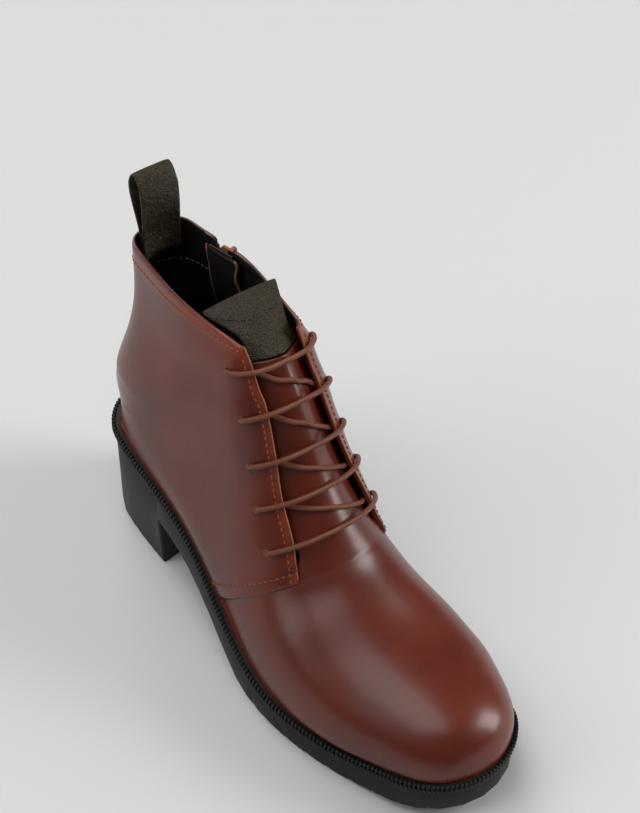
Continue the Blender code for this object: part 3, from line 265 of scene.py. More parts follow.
# Distance of the seams beside the zip from its middle, and the guard's width, wall and edge radius.
ZIP_SEAM = 0.0062
GUARD_WIDTH = 0.0200
GUARD_WALL = 0.0009
GUARD_EDGE = 0.00065

# Soft studio light: name, place, size and power of each light, the air's strength and the floor's tone.
LIGHTS = (
    ("overhead_light", (-0.55, 0.15, 2.0), (1.5, 1.5), 18.0),
    ("right_strip_light", (1.44, -0.95, 0.95), (0.8, 1.3), 26.0),
    ("top_back_light", (0.2, 1.6, 1.8), (1.6, 1.2), 20.0),
    ("left_light", (-2.2, 0.9, 1.6), (1.6, 1.6), 19.0),
)
AIR_STRENGTH = 0.13
FLOOR_TONE = 0.64

# The camera: its place, its three axes and its lens in millimetres.
CAMERA_PLACE = (-0.4067, -0.5313, 0.8153)
CAMERA_RIGHT = (0.8063, -0.5908, 0.0281)
CAMERA_UP = (0.4023, 0.5827, 0.7061)
CAMERA_BACK = (-0.4335, -0.5581, 0.7075)
CAMERA_LENS = 98.91


class BootSizes(bpy.types.PropertyGroup):
    """Sizes that a user of the boot would change."""

    cord_radius: bpy.props.FloatProperty(
        name="Cord radius", description="Half of the lace's thickness", default=0.0012, unit="LENGTH"
    )
    stitch_length: bpy.props.FloatProperty(
        name="Stitch length", description="Length of one stitch", default=0.0021, unit="LENGTH"
    )
    stitch_pitch: bpy.props.FloatProperty(
        name="Stitch pitch", description="Distance from stitch to stitch", default=0.0030, unit="LENGTH"
    )
    stitch_radius: bpy.props.FloatProperty(
        name="Thread radius", description="Half of the thread's thickness", default=0.00040, unit="LENGTH"
    )
    welt_height: bpy.props.FloatProperty(
        name="Welt height", description="Height of the ribbed welt", default=0.0045, unit="LENGTH"
    )
    rib_pitch: bpy.props.FloatProperty(
        name="Rib pitch", description="Distance from rib to rib along the welt", default=0.0021, unit="LENGTH"
    )


class BootColours(bpy.types.PropertyGroup):
    """Colours that a user of the boot would change."""

    leather: bpy.props.FloatVectorProperty(
        name="Leather", description="Colour of the polished leather", default=(0.128, 0.0175, 0.0055),
        subtype="COLOR", size=3, min=0.0, max=1.0
    )
    leather_dark: bpy.props.FloatVectorProperty(
        name="Leather shade", description="Colour of the burnished parts of the leather",
        default=(0.056, 0.0055, 0.0016), subtype="COLOR", size=3, min=0.0, max=1.0
    )
    leather_fold: bpy.props.FloatVectorProperty(
        name="Folded edge", description="Colour of the leather where it is folded at the collar and facings",
        default=(0.190, 0.027, 0.0070), subtype="COLOR", size=3, min=0.0, max=1.0
    )
    olive: bpy.props.FloatVectorProperty(
        name="Olive leather", description="Colour of the pebbled leather", default=(0.030, 0.0215, 0.0070),
        subtype="COLOR", size=3, min=0.0, max=1.0
    )
    rubber: bpy.props.FloatVectorProperty(
        name="Rubber", description="Colour of the sole and welt", default=(0.0085, 0.0080, 0.0075),
        subtype="COLOR", size=3, min=0.0, max=1.0
    )
    cord: bpy.props.FloatVectorProperty(
        name="Cord", description="Colour of the waxed lace", default=(0.215, 0.056, 0.022),
        subtype="COLOR", size=3, min=0.0, max=1.0
    )
    metal: bpy.props.FloatVectorProperty(
        name="Zip metal", description="Colour of the zip's slider and pull", default=(0.20, 0.075, 0.045),
        subtype="COLOR", size=3, min=0.0, max=1.0
    )


# Places and lines.


def resampled(line, spacing):
    """Points at even steps along a line."""
    lengths = [0.0]
    for a, b in zip(line, line[1:]):
        lengths.append(lengths[-1] + (b - a).length)
    count = max(1, round(lengths[-1] / spacing))
    places = []
    index = 0
    for step in range(count + 1):
        target = lengths[-1] * step / count
        while index < len(line) - 2 and lengths[index + 1] < target:
            index += 1
        span = max(lengths[index + 1] - lengths[index], 1e-9)
        places.append(line[index].lerp(line[index + 1], (target - lengths[index]) / span))
    return places


def smooth_line(points, spacing, closed=False):
    """Even points along a smooth curve through the given ones."""
    knots = [Vector(point) for point in points]
    if closed:
        knots = [knots[-1]] + knots + [knots[0], knots[1]]
    else:
        knots = [2 * knots[0] - knots[1]] + knots + [2 * knots[-1] - knots[-2]]
    fine = []
    for a, b, c, d in zip(knots, knots[1:], knots[2:], knots[3:]):
        for step in range(12):
            t = step / 12
            bend = (2 * a - 5 * b + 4 * c - d) * t * t + (3 * b - a - 3 * c + d) * t ** 3
            fine.append((2 * b + (c - a) * t + bend) / 2)
    fine.append(knots[-2])
    return resampled(fine, spacing)


def directions(line):
    """Direction of a line at each of its points."""
    last = len(line) - 1
    return [(line[min(i + 1, last)] - line[max(i - 1, 0)]).normalized() for i in range(last + 1)]


def from_hollow(place):
    """Direction from the middle of the boot's hollow out to a place."""
    best = None
    for a, b in zip(HOLLOW, HOLLOW[1:]):
        a = Vector(a)
        span = Vector(b) - a
        share = min(max((place - a).dot(span) / span.length_squared, 0.0), 1.0)
        away = place - (a + span * share)
        if best is None or away.length < best.length:
            best = away
    return best


# Shaping of pieces.


def deselect():
    """Leaves edit mode and selects nothing."""
    if bpy.context.mode != "OBJECT":
        bpy.ops.object.mode_set(mode="OBJECT")
    bpy.ops.object.select_all(action="DESELECT")


def pick(obj):
    """Selects one object alone."""
    deselect()
    obj.select_set(True)
    bpy.context.view_layer.objects.active = obj


def named(name):
    """Names the new object and its mesh."""
    obj = bpy.context.object
    obj.name = name
    obj.data.name = name
    return obj


def sheet(name, rows):
    """A grid primitive with its points put at the places of rows."""
    deselect()
    bpy.ops.mesh.primitive_grid_add(x_subdivisions=len(rows[0]) - 1, y_subdivisions=len(rows) - 1, size=1.0)
    obj = named(name)
    places = [place for row in rows for place in row]
    for vert, place in zip(obj.data.vertices, places):
        vert.co = place
    return obj


def weld(obj):
    """Merges doubled points and turns the faces outwards."""
    pick(obj)
    bpy.ops.object.mode_set(mode="EDIT")
    bpy.ops.mesh.select_all(action="SELECT")
    bpy.ops.mesh.remove_doubles(threshold=1e-6)
    bpy.ops.mesh.normals_make_consistent(inside=False)
    bpy.ops.object.mode_set(mode="OBJECT")


def face_away(obj):
    """Turns an open sheet so that its faces look away from the boot's hollow."""
    total = sum(poly.normal.dot(from_hollow(poly.center)) * poly.area for poly in obj.data.polygons)
    if total < 0:
        pick(obj)
        bpy.ops.object.mode_set(mode="EDIT")
        bpy.ops.mesh.select_all(action="SELECT")
        bpy.ops.mesh.flip_normals()
        bpy.ops.object.mode_set(mode="OBJECT")


def tube(name, line, radius, sides=12):
    """A round cord along a line, closed at its ends."""
    normal = (line[1] - line[0]).orthogonal().normalized()
    rows = [[line[0]] * (sides + 1)]
    for place, ahead in zip(line, directions(line)):
        normal = (normal - ahead * normal.dot(ahead)).normalized()
        across = ahead.cross(normal)
        rows.append([
            place + (normal * math.cos(turn) + across * math.sin(turn)) * radius
            for turn in [math.tau * i / sides for i in range(sides)] + [0.0]
        ])
    rows.append([line[-1]] * (sides + 1))
    obj = sheet(name, rows)
    weld(obj)
    return obj


def apply_modifier(obj, kind, **values):
    """Adds a modifier with these values and applies it."""
    pick(obj)
    modifier = obj.modifiers.new(kind.title(), kind)
    for key, value in values.items():
        setattr(modifier, key, value)
    bpy.ops.object.modifier_apply(modifier=modifier.name)


def copy_of_node(node, name, levels):
    """A merged and rounded copy of a CAD solid."""
    obj = bpy.data.objects.new(name, NODES[node].data.copy())
    obj.data.name = name
    obj.data.materials.clear()
    bpy.context.scene.collection.objects.link(obj)
    pick(obj)
    if obj.data.has_custom_normals:
        bpy.ops.mesh.customdata_custom_splitnormals_clear()
    bpy.ops.object.mode_set(mode="EDIT")
    bpy.ops.mesh.select_all(action="SELECT")
    bpy.ops.mesh.remove_doubles(threshold=2e-6)
    bpy.ops.mesh.tris_convert_to_quads(face_threshold=math.radians(30), shape_threshold=math.radians(50))
    bpy.ops.object.mode_set(mode="OBJECT")
    bm = bmesh.new()
    bm.from_mesh(obj.data)
    layer = bm.edges.layers.float.get("crease_edge") or bm.edges.layers.float.new("crease_edge")
    for edge in bm.edges:
        if len(edge.link_faces) == 2 and edge.calc_face_angle() > math.radians(SHARP_ANGLE):
            middle = (edge.verts[0].co + edge.verts[1].co) / 2
            edge[layer] = FOLD_CREASE if middle.z > COLLAR_LEVEL else FIRM_CREASE
    bm.to_mesh(obj.data)
    bm.free()
    if levels:
        apply_modifier(obj, "SUBSURF", levels=levels, render_levels=levels)
    return obj


def repeated(name, template, places):
    """One mesh with a copy of the template at each place, and the template removed."""
    bm = bmesh.new()
    for place in places:
        before = len(bm.verts)
        bm.from_mesh(template.data)
        bm.verts.ensure_lookup_table()
        bmesh.ops.transform(bm, matrix=place, verts=bm.verts[before:])
    mesh = bpy.data.meshes.new(name)
    bm.to_mesh(mesh)
    bm.free()
    obj = bpy.data.objects.new(name, mesh)
    bpy.context.scene.collection.objects.link(obj)
    bpy.data.objects.remove(template)
    return obj


def finished(obj, slot, *materials, angle=50.0, replaces=()):
    """Smooths a piece, gives it its materials and sets it on the boot."""
    pick(obj)
    bpy.ops.object.shade_smooth_by_angle(angle=math.radians(angle))
    if not obj.data.materials:
        for material in materials:
            obj.data.materials.append(material)
    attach(obj, "boot")
    if replaces:
        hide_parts(*replaces)
    return obj


def surface_of(obj, outward=True):
    """A search tree over the faces of a finished piece that look out, or over those that look in."""
    verts = [vert.co.copy() for vert in obj.data.vertices]
    faces = []
    for poly in obj.data.polygons:
        if (poly.normal.dot(from_hollow(poly.center)) > 0) == outward:
            faces.append(list(poly.vertices))
    return BVHTree.FromPolygons(verts, faces)


def laid_on(tree, line, lift=0.0):
    """Each point moved to the nearest place on the surface, with the surface's normal there."""
    found = []
    for place in line:
        hit, normal, _, _ = tree.find_nearest(place)
        if normal.dot(from_hollow(hit)) < 0:
            normal = -normal
        found.append((hit + normal * lift, normal))
    return found


# Materials.


def socket_of(group, name, kind, way, value=None):
    """Gives a node group a named input or output."""
    made = group.interface.new_socket(name=name, in_out=way, socket_type=kind)
    if value is not None:
        made.default_value = value


def grain_group():
    """Fine leather grain: a height and a tone that change over the surface."""
    group = bpy.data.node_groups.get("Leather grain")
    if group:
        return group
    group = bpy.data.node_groups.new("Leather grain", "ShaderNodeTree")
    socket_of(group, "Vector", "NodeSocketVector", "INPUT")
    socket_of(group, "Pore scale", "NodeSocketFloat", "INPUT", 1500.0)
    socket_of(group, "Tone scale", "NodeSocketFloat", "INPUT", 18.0)
    socket_of(group, "Height", "NodeSocketFloat", "OUTPUT")
    socket_of(group, "Tone", "NodeSocketFloat", "OUTPUT")
    nodes = group.nodes
    links = group.links
    entry = nodes.new("NodeGroupInput")
    leave = nodes.new("NodeGroupOutput")
    pores = nodes.new("ShaderNodeTexVoronoi")
    pores.feature = "DISTANCE_TO_EDGE"
    wrinkle = nodes.new("ShaderNodeTexNoise")
    wrinkle.inputs["Detail"].default_value = 3.0
    tone = nodes.new("ShaderNodeTexNoise")
    tone.inputs["Detail"].default_value = 4.0
    tone.inputs["Roughness"].default_value = 0.55
    finer = nodes.new("ShaderNodeMath")
    finer.operation = "MULTIPLY"
    finer.inputs[1].default_value = 0.45
    join = nodes.new("ShaderNodeMath")
    join.operation = "MULTIPLY_ADD"
    join.inputs[1].default_value = 0.6
    for node in (pores, wrinkle, tone):
        links.new(entry.outputs["Vector"], node.inputs["Vector"])
    links.new(entry.outputs["Pore scale"], pores.inputs["Scale"])
    links.new(entry.outputs["Pore scale"], finer.inputs[0])
    links.new(finer.outputs[0], wrinkle.inputs["Scale"])
    links.new(entry.outputs["Tone scale"], tone.inputs["Scale"])
    links.new(pores.outputs["Distance"], join.inputs[0])
    links.new(wrinkle.outputs["Fac"], join.inputs[2])
    links.new(join.outputs[0], leave.inputs["Height"])
    links.new(tone.outputs["Fac"], leave.inputs["Tone"])
    return group


def weave_group():
    """Crossing threads: a height that changes along two directions."""
    group = bpy.data.node_groups.get("Weave")
    if group:
        return group
    group = bpy.data.node_groups.new("Weave", "ShaderNodeTree")
    socket_of(group, "Vector", "NodeSocketVector", "INPUT")
    socket_of(group, "Thread scale", "NodeSocketFloat", "INPUT", 400.0)
    socket_of(group, "Height", "NodeSocketFloat", "OUTPUT")
    nodes = group.nodes
    links = group.links
    entry = nodes.new("NodeGroupInput")
    leave = nodes.new("NodeGroupOutput")
    waves = []
    for axis in ("X", "Z"):
        wave = nodes.new("ShaderNodeTexWave")
        wave.bands_direction = axis
        links.new(entry.outputs["Vector"], wave.inputs["Vector"])
        links.new(entry.outputs["Thread scale"], wave.inputs["Scale"])
        waves.append(wave)
    top = nodes.new("ShaderNodeMath")
    top.operation = "MAXIMUM"
    links.new(waves[0].outputs["Fac"], top.inputs[0])
    links.new(waves[1].outputs["Fac"], top.inputs[1])
    links.new(top.outputs[0], leave.inputs["Height"])
    return group


def material_named(name):
    """A new material, its node tree and its shader, or the one already made."""
    material = bpy.data.materials.get(name)
    if material:
        return material, None
    material = bpy.data.materials.new(name)
    material.use_nodes = True
    return material, material.node_tree.nodes["Principled BSDF"]


def place_group(material, group, **values):
    """Puts a node group in a material, on Object coordinates and with its own values."""
    tree = material.node_tree
    source = tree.nodes.new("ShaderNodeTexCoord")
    node = tree.nodes.new("ShaderNodeGroup")
    node.node_tree = group
    tree.links.new(source.outputs["Object"], node.inputs["Vector"])
    for key, value in values.items():
        node.inputs[key.replace("_", " ").capitalize()].default_value = value
    return node


def add_bump(material, shader, height, strength, distance):
    """Turns a height into the shader's normal."""
    tree = material.node_tree
    bump = tree.nodes.new("ShaderNodeBump")
    bump.inputs["Strength"].default_value = strength
    bump.inputs["Distance"].default_value = distance
    tree.links.new(height, bump.inputs["Height"])
    tree.links.new(bump.outputs["Normal"], shader.inputs["Normal"])


def add_ramp(material, factor, low, high, low_at=0.3, high_at=0.7):
    """Turns a value into a colour between two."""
    tree = material.node_tree
    ramp = tree.nodes.new("ShaderNodeValToRGB")
    ramp.color_ramp.elements[0].position = low_at
    ramp.color_ramp.elements[0].color = (*low, 1.0)
    ramp.color_ramp.elements[1].position = high_at
    ramp.color_ramp.elements[1].color = (*high, 1.0)
    tree.links.new(factor, ramp.inputs["Fac"])
    return ramp.outputs["Color"]


def polished_leather():
    """Red brown leather with a soft polish, darker in clouds and lighter where it is folded."""
    material, shader = material_named("Polished red brown leather")
    if shader is None:
        return material
    colours = bpy.context.scene.boot_colours
    tree = material.node_tree
    grain = place_group(material, grain_group(), Pore_scale=1300.0, Tone_scale=22.0)
    tone = add_ramp(material, grain.outputs["Tone"], colours.leather_dark, colours.leather, 0.22, 0.66)
    fold = tree.nodes.new("ShaderNodeAttribute")
    fold.attribute_name = "fold_tone"
    mix = tree.nodes.new("ShaderNodeMix")
    mix.data_type = "RGBA"
    tree.links.new(fold.outputs["Fac"], mix.inputs["Factor"])
    tree.links.new(tone, mix.inputs["A"])
    mix.inputs["B"].default_value = (*colours.leather_fold, 1.0)
    tree.links.new(mix.outputs["Result"], shader.inputs["Base Color"])
    shader.inputs["Roughness"].default_value = 0.44
    shader.inputs["Specular IOR Level"].default_value = 0.10
    shader.inputs["Coat Weight"].default_value = 0.80
    shader.inputs["Coat Roughness"].default_value = 0.285
    add_bump(material, shader, grain.outputs["Height"], 0.42, 0.00026)
    return material


def plain_leather(name, low, high, rough, coat, scale, strength, distance):
    """Leather of one tone, with pores of a scale and a bump of a strength and distance."""
    material, shader = material_named(name)
    if shader is None:
        return material
    grain = place_group(material, grain_group(), Pore_scale=scale, Tone_scale=60.0)
    tone = add_ramp(material, grain.outputs["Tone"], low, high)
    material.node_tree.links.new(tone, shader.inputs["Base Color"])
    shader.inputs["Roughness"].default_value = rough
    shader.inputs["Specular IOR Level"].default_value = 0.3
    shader.inputs["Coat Weight"].default_value = coat
    shader.inputs["Coat Roughness"].default_value = 0.3
    add_bump(material, shader, grain.outputs["Height"], strength, distance)
    return material


def olive_leather():
    """Pebbled leather of the tongue's top and the pull loop."""
    high = bpy.context.scene.boot_colours.olive
    low = [0.55 * part for part in high]
    return plain_leather(
        "Pebbled olive leather", low, high,
        rough=0.50, coat=0.06, scale=820.0, strength=1.0, distance=0.0012
    )


def lining_leather():
    """Black leather inside the boot."""
    return plain_leather(
        "Black lining", (0.004, 0.004, 0.0045), (0.008, 0.008, 0.0085),
        rough=0.62, coat=0.0, scale=1500.0, strength=0.3, distance=0.0002
    )


def raw_leather():
    """Pale cut edge of the leather."""
    return plain_leather(
        "Raw leather edge", (0.20, 0.075, 0.035), (0.34, 0.15, 0.08),
        rough=0.7, coat=0.0, scale=1200.0, strength=0.3, distance=0.0002
    )


def sole_rubber():
    """Matte black rubber of the sole and welt."""
    material, shader = material_named("Matte black rubber")
    if shader is None:
        return material
    high = bpy.context.scene.boot_colours.rubber
    grain = place_group(material, grain_group(), Pore_scale=2600.0, Tone_scale=40.0)
    tone = add_ramp(material, grain.outputs["Tone"], [0.7 * part for part in high], high)
    material.node_tree.links.new(tone, shader.inputs["Base Color"])
    shader.inputs["Roughness"].default_value = 0.52
    shader.inputs["Specular IOR Level"].default_value = 0.28
    add_bump(material, shader, grain.outputs["Height"], 0.15, 0.0001)
    return material


def waxed_cord():
    """Twisted cord, its pattern on the cord's own UV map."""
    material, shader = material_named("Waxed cord")
    if shader is None:
        return material
    tree = material.node_tree
    high = bpy.context.scene.boot_colours.cord
    low = [0.35 * part for part in high]
    source = tree.nodes.new("ShaderNodeUVMap")
    source.uv_map = "UVMap"
    twist = tree.nodes.new("ShaderNodeTexWave")
    twist.bands_direction = "DIAGONAL"
    twist.inputs["Scale"].default_value = 9.0
    twist.inputs["Distortion"].default_value = 0.6
    tree.links.new(source.outputs["UV"], twist.inputs["Vector"])
    tone = add_ramp(material, twist.outputs["Fac"], low, high, 0.1, 0.7)
    tree.links.new(tone, shader.inputs["Base Color"])
    shader.inputs["Roughness"].default_value = 0.5
    add_bump(material, shader, twist.outputs["Fac"], 0.5, 0.0002)
    return material


def woven_tape(name="Woven zip tape", colour=(0.055, 0.014, 0.008)):
    """Dull woven cloth of the zip."""
    material, shader = material_named(name)
    if shader is None:
        return material
    weave = place_group(material, weave_group(), Thread_scale=520.0)
    tone = add_ramp(material, weave.outputs["Height"], [0.4 * part for part in colour], colour, 0.2, 0.9)
    material.node_tree.links.new(tone, shader.inputs["Base Color"])
    shader.inputs["Roughness"].default_value = 0.8
    add_bump(material, shader, weave.outputs["Height"], 0.6, 0.0002)
    return material


def zip_metal():
    """Copper brown metal of the slider and its pull."""
    material, shader = material_named("Copper brown metal")
    if shader is None:
        return material
    colours = bpy.context.scene.boot_colours
    shader.inputs["Base Color"].default_value = (*colours.metal, 1.0)
    shader.inputs["Metallic"].default_value = 1.0
    shader.inputs["Roughness"].default_value = 0.32
    return material


def thread(name="Brown thread", colour=(0.22, 0.055, 0.020)):
    """Sewing thread of a colour."""
    material, shader = material_named(name)
    if shader is None:
        return material
    shader.inputs["Base Color"].default_value = (*colour, 1.0)
    shader.inputs["Roughness"].default_value = 0.6
    return material


# Pieces of the boot.


def smooth_counter(upper):
    """Evens out the leather low at the back, round the heel."""
    pick(upper)
    bpy.ops.object.mode_set(mode="EDIT")
    bpy.ops.mesh.select_all(action="DESELECT")
    bpy.ops.object.mode_set(mode="OBJECT")
    for vert in upper.data.vertices:
        low = COUNTER_LOW < vert.co.z < COUNTER_HIGH and vert.co.y > COUNTER_FRONT
        vert.select = low and vert.normal.dot(from_hollow(vert.co)) > 0
    bpy.ops.object.mode_set(mode="EDIT")
    bpy.ops.mesh.vertices_smooth(factor=0.5, repeat=9)
    bpy.ops.object.mode_set(mode="OBJECT")


def tone_folds(upper):
    """Marks how near each point is to a folded edge, for the leather's colour."""
    near = [point for edge in (OUTER_EDGE, INNER_EDGE) for point in smooth_line(edge, 0.0010)]
    for seam in (OUTER_COLLAR_SEAM, INNER_COLLAR_SEAM, BACK_COLLAR_SEAM):
        near += [point + Vector((0.0, 0.0, 0.0016)) for point in smooth_line(seam, 0.0010)]
    tree = KDTree(len(near))
    for index, point in enumerate(near):
        tree.insert(point, index)
    tree.balance()
    marks = upper.data.attributes.new("fold_tone", "FLOAT", "POINT")
    for vert, mark in zip(upper.data.vertices, marks.data):
        share = (FOLD_REACH - tree.find(vert.co)[2]) / FOLD_FADE
        mark.value = FOLD_SHARE * min(max(share, 0.0), 1.0)


def lined(obj):
    """Gives a piece polished leather outside and the black lining inside."""
    obj.data.materials.append(polished_leather())
    obj.data.materials.append(lining_leather())
    for poly in obj.data.polygons:
        if poly.normal.dot(from_hollow(poly.center).normalized()) < LINING_TURN:
            poly.material_index = 1


def make_upper():
    """The leather upper, with its dark lining inside."""
    upper = copy_of_node("upper", "upper_leather", 2)
    smooth_counter(upper)
    lined(upper)
    tone_folds(upper)
    finished(upper, "burgundy_leather", angle=38.0, replaces=("upper",))


def make_tongue():
    """The tongue under the laces and its pebbled top."""
    tongue = copy_of_node("tongue", "tongue_leather", 2)
    lined(tongue)
    finished(tongue, "burgundy_leather", replaces=("tongue",))
    top = copy_of_node("tongue_top", "tongue_top_leather", 2)
    finished(top, "olive_leather", olive_leather(), replaces=("tongue_top",))


def hit_from_outside(tree, place):
    """Where a ray from outside the boot through a place meets a surface."""
    look = Vector(THROAT_LOOK)
    return tree.ray_cast(place + look * 0.05, -look)[0]


def throat_place(outer, inner, reach, share):
    """A place between the facings, at a distance behind their lower corners and a share of the way across."""
    if reach < 0:
        ends = [edge[0] - (edge[0] - edge[8]).normalized() * reach for edge in (outer, inner)]
    else:
        index = min(round(reach / THROAT_STEP), len(outer) - 1, len(inner) - 1)
        ends = (outer[index], inner[index])
    wider = (ends[1] - ends[0]).normalized() * (0.0022 + 0.0030 * min(max(reach / 0.008, 0.0), 1.0))
    return (ends[0] - wider).lerp(ends[1] + wider, share)


def throat_column(vamp, tongue, outer, inner, share):
    """A smooth line that leaves the vamp at its rim and meets the tongue."""
    reach = THROAT_START
    on_vamp = []
    for before in (THROAT_STEP, 0.0):
        on_vamp.append(hit_from_outside(vamp, throat_place(outer, inner, reach - before, share)))
    while reach < THROAT_END:
        reach += THROAT_STEP
        hit = hit_from_outside(vamp, throat_place(outer, inner, reach, share))
        if hit is None or (hit - 2 * on_vamp[-1] + on_vamp[-2]).length > RIM_JUMP:
            break
        on_vamp.append(hit)
    rim = len(on_vamp) - 2
    found = [on_vamp[max(rim - back, 0)] for back in POINTS_BEFORE_RIM]
    found.append(on_vamp[rim] + (on_vamp[rim] - on_vamp[rim - 4]) * 0.9)
    for beyond in REACH_TO_TONGUE:
        place = throat_place(outer, inner, reach + beyond, share)
        found.append(hit_from_outside(tongue, place) or tongue.find_nearest(place)[0])
    return smooth_line(found, 0.00125)


def make_throat():
    """The vamp carried on under the laces, so that it runs into the tongue with no edge."""
    vamp = surface_of(bpy.data.objects["upper_leather"])
    tongue = surface_of(bpy.data.objects["tongue_leather"])
    outer = smooth_line(OUTER_EDGE[:6], THROAT_STEP)
    inner = smooth_line(INNER_EDGE[:6], THROAT_STEP)
    lines = []
    for column in range(THROAT_COLUMNS + 1):
        lines.append(throat_column(vamp, tongue, outer, inner, column / THROAT_COLUMNS))
    count = max(len(line) for line in lines)
    rows = []
    for row in range(count):
        places = []
        for line in lines:
            at = row / (count - 1) * (len(line) - 1)
            low = min(int(at), len(line) - 2)
            places.append(line[low].lerp(line[low + 1], at - low))
        rows.append(places)
    obj = sheet("throat_leather", rows)
    face_away(obj)
    normals = [vert.normal.copy() for vert in obj.data.vertices]
    for vert, normal in zip(obj.data.vertices, normals):
        row = vert.index // (THROAT_COLUMNS + 1)
        vert.co += normal * (-0.00002 + 0.00013 * min(row / THROAT_RISE_ROWS, 1.0) ** 2)
    finished(obj, "burgundy_leather", polished_leather(), angle=80.0)


def make_facing_edges():
    """The pale raw edge of each facing."""
    for name, edge in (("outer_facing_edge", OUTER_EDGE), ("inner_facing_edge", INNER_EDGE)):
        line = smooth_line(edge, 0.0030)
        placed = [place - from_hollow(place).normalized() * 0.0004 for place in line]
        cut = tube(name, smooth_line(placed, 0.0015), EDGE_RADIUS, 8)
        finished(cut, "burgundy_leather", raw_leather())


def make_laces():
    """The waxed cord: five bars through the eyelets and four crosses under them."""
    radius = bpy.context.scene.boot_sizes.cord_radius
    spacing = 0.0008
    for kind, lines in (("bar", BARS), ("cross", CROSSES)):
        for number, points in enumerate(lines, 1):
            line = smooth_line(points, spacing)
            cord = tube("cord_" + kind + "_" + str(number), line, radius, 14)
            layer = cord.data.uv_layers.active
            length = len(line) * spacing
            for loop in layer.data:
                loop.uv = (loop.uv[0], loop.uv[1] * length / (math.tau * radius))
            finished(cord, "waxed_cord", waxed_cord(), replaces=("lace_" + kind + "_" + str(number),))


def make_eyelets():
    """The raw leather that shows in each punched hole, just under the surface round it."""
    tree = surface_of(bpy.data.objects["upper_leather"])
    deselect()
    bpy.ops.mesh.primitive_torus_add(
        major_radius=HOLE_RADIUS, minor_radius=HOLE_EDGE, major_segments=24, minor_segments=8
    )
    places = []
    for centre in EYELETS:
        centre = Vector(centre)
        out = from_hollow(centre).normalized()
        side = out.orthogonal().normalized()
        around = [centre + Quaternion(out, math.tau * turn / 8) @ side * 0.0026 for turn in range(8)]
        found = laid_on(tree, around, -0.00022)
        normal = sum((normal for _, normal in found), Vector()).normalized()
        place = sum((place for place, _ in found), Vector()) / 8
        places.append(Matrix.Translation(place) @ normal.to_track_quat("Z", "Y").to_matrix().to_4x4())
    rings = repeated("eyelet_edges", named("eyelet_edge"), places)
    finished(rings, "burgundy_leather", raw_leather(), angle=80.0)


def make_zip_guard():
    """The dark guard behind the zip, with its brown edge."""
    rows = []
    for middle, ahead, normal in zip_frames(0.004):
        side = normal.cross(ahead).normalized()
        places = []
        for step in range(9):
            reach = -0.0110 + GUARD_WIDTH * step / 8
            places.append(middle + side * reach - normal * (0.0048 + 0.0009 * math.sin(math.pi * step / 8)))
        rows.append(places)
    rows[0] = [place - Vector((0.0, 0.0, 0.0010)) for place in rows[0]]
    guard = sheet("zip_guard", rows)
    apply_modifier(guard, "SOLIDIFY", thickness=GUARD_WALL, offset=0.0)
    finished(guard, "insole_leather", lining_leather())
    for name, at in (("zip_guard_front_edge", -1), ("zip_guard_back_edge", 0)):
        line = smooth_line([row[at] for row in rows], 0.0015)
        finished(tube(name, line, GUARD_EDGE, 8), "burgundy_leather", raw_leather())


def stitch_template():
    """One sewn stitch: a low, round ended thread along X."""
    sizes = bpy.context.scene.boot_sizes
    deselect()
    bpy.ops.mesh.primitive_uv_sphere_add(segments=8, ring_count=6, radius=1.0)
    obj = named("stitch")
    for vert in obj.data.vertices:
        x, y, z = vert.co
        vert.co = (z * sizes.stitch_length / 2, y * sizes.stitch_radius, x * sizes.stitch_radius)
    return obj


def stitched(name, tree, seams, slot, material, lift=0.0001):
    """Rows of stitches laid on a surface."""
    pitch = bpy.context.scene.boot_sizes.stitch_pitch
    places = []
    for seam in seams:
        laid = laid_on(tree, smooth_line(seam, pitch), lift)
        line = [place for place, _ in laid]
        for (place, normal), ahead in zip(laid, directions(line)):
            side = normal.cross(ahead).normalized()
            ahead = side.cross(normal)
            turn = Matrix((ahead, side, normal)).transposed().to_4x4()
            places.append(Matrix.Translation(place) @ turn)
    obj = repeated(name, stitch_template(), places)
    finished(obj, slot, material, angle=80.0)


def make_stitches():
    """The seams of the facings, the collar, the quarters and the lining."""
    tree = surface_of(bpy.data.objects["upper_leather"])
    brown = thread()
    stitched("facing_stitches", tree, (OUTER_FACING_SEAM, INNER_FACING_SEAM), "burgundy_leather", brown)
    collar = (OUTER_COLLAR_SEAM, INNER_COLLAR_SEAM, BACK_COLLAR_SEAM)
    stitched("collar_stitches", tree, collar, "burgundy_leather", brown)
    stitched("quarter_stitches", tree, (OUTER_QUARTER_SEAM, INNER_QUARTER_SEAM), "burgundy_leather", brown)
    # Two short rows of dark marks at the outer facing's lower corner stand for its pinholes: their dark
    # colour is painted shade in the holes.
    rows = []
    corner = Vector(OUTER_QUARTER_SEAM[0])
    along = (Vector(OUTER_QUARTER_SEAM[1]) - corner).normalized()
    across = (Vector(OUTER_FACING_SEAM[2]) - Vector(OUTER_FACING_SEAM[0])).normalized()
    for step in (0.0012, 0.0030):
        rows.append([corner + across * step + along * reach for reach in (-0.0005, 0.0022, 0.0049)])
    dark = thread("Painted hole shade", (0.030, 0.006, 0.003))
    stitched("corner_pinhole_shade", tree, rows, "burgundy_leather", dark)
    inside = surface_of(bpy.data.objects["upper_leather"], outward=False)
    grey = thread("Grey thread", (0.075, 0.072, 0.068))
    stitched("lining_stitches", inside, (LINING_SEAM,), "insole_leather", grey, lift=-0.0001)
    make_top_stitches()


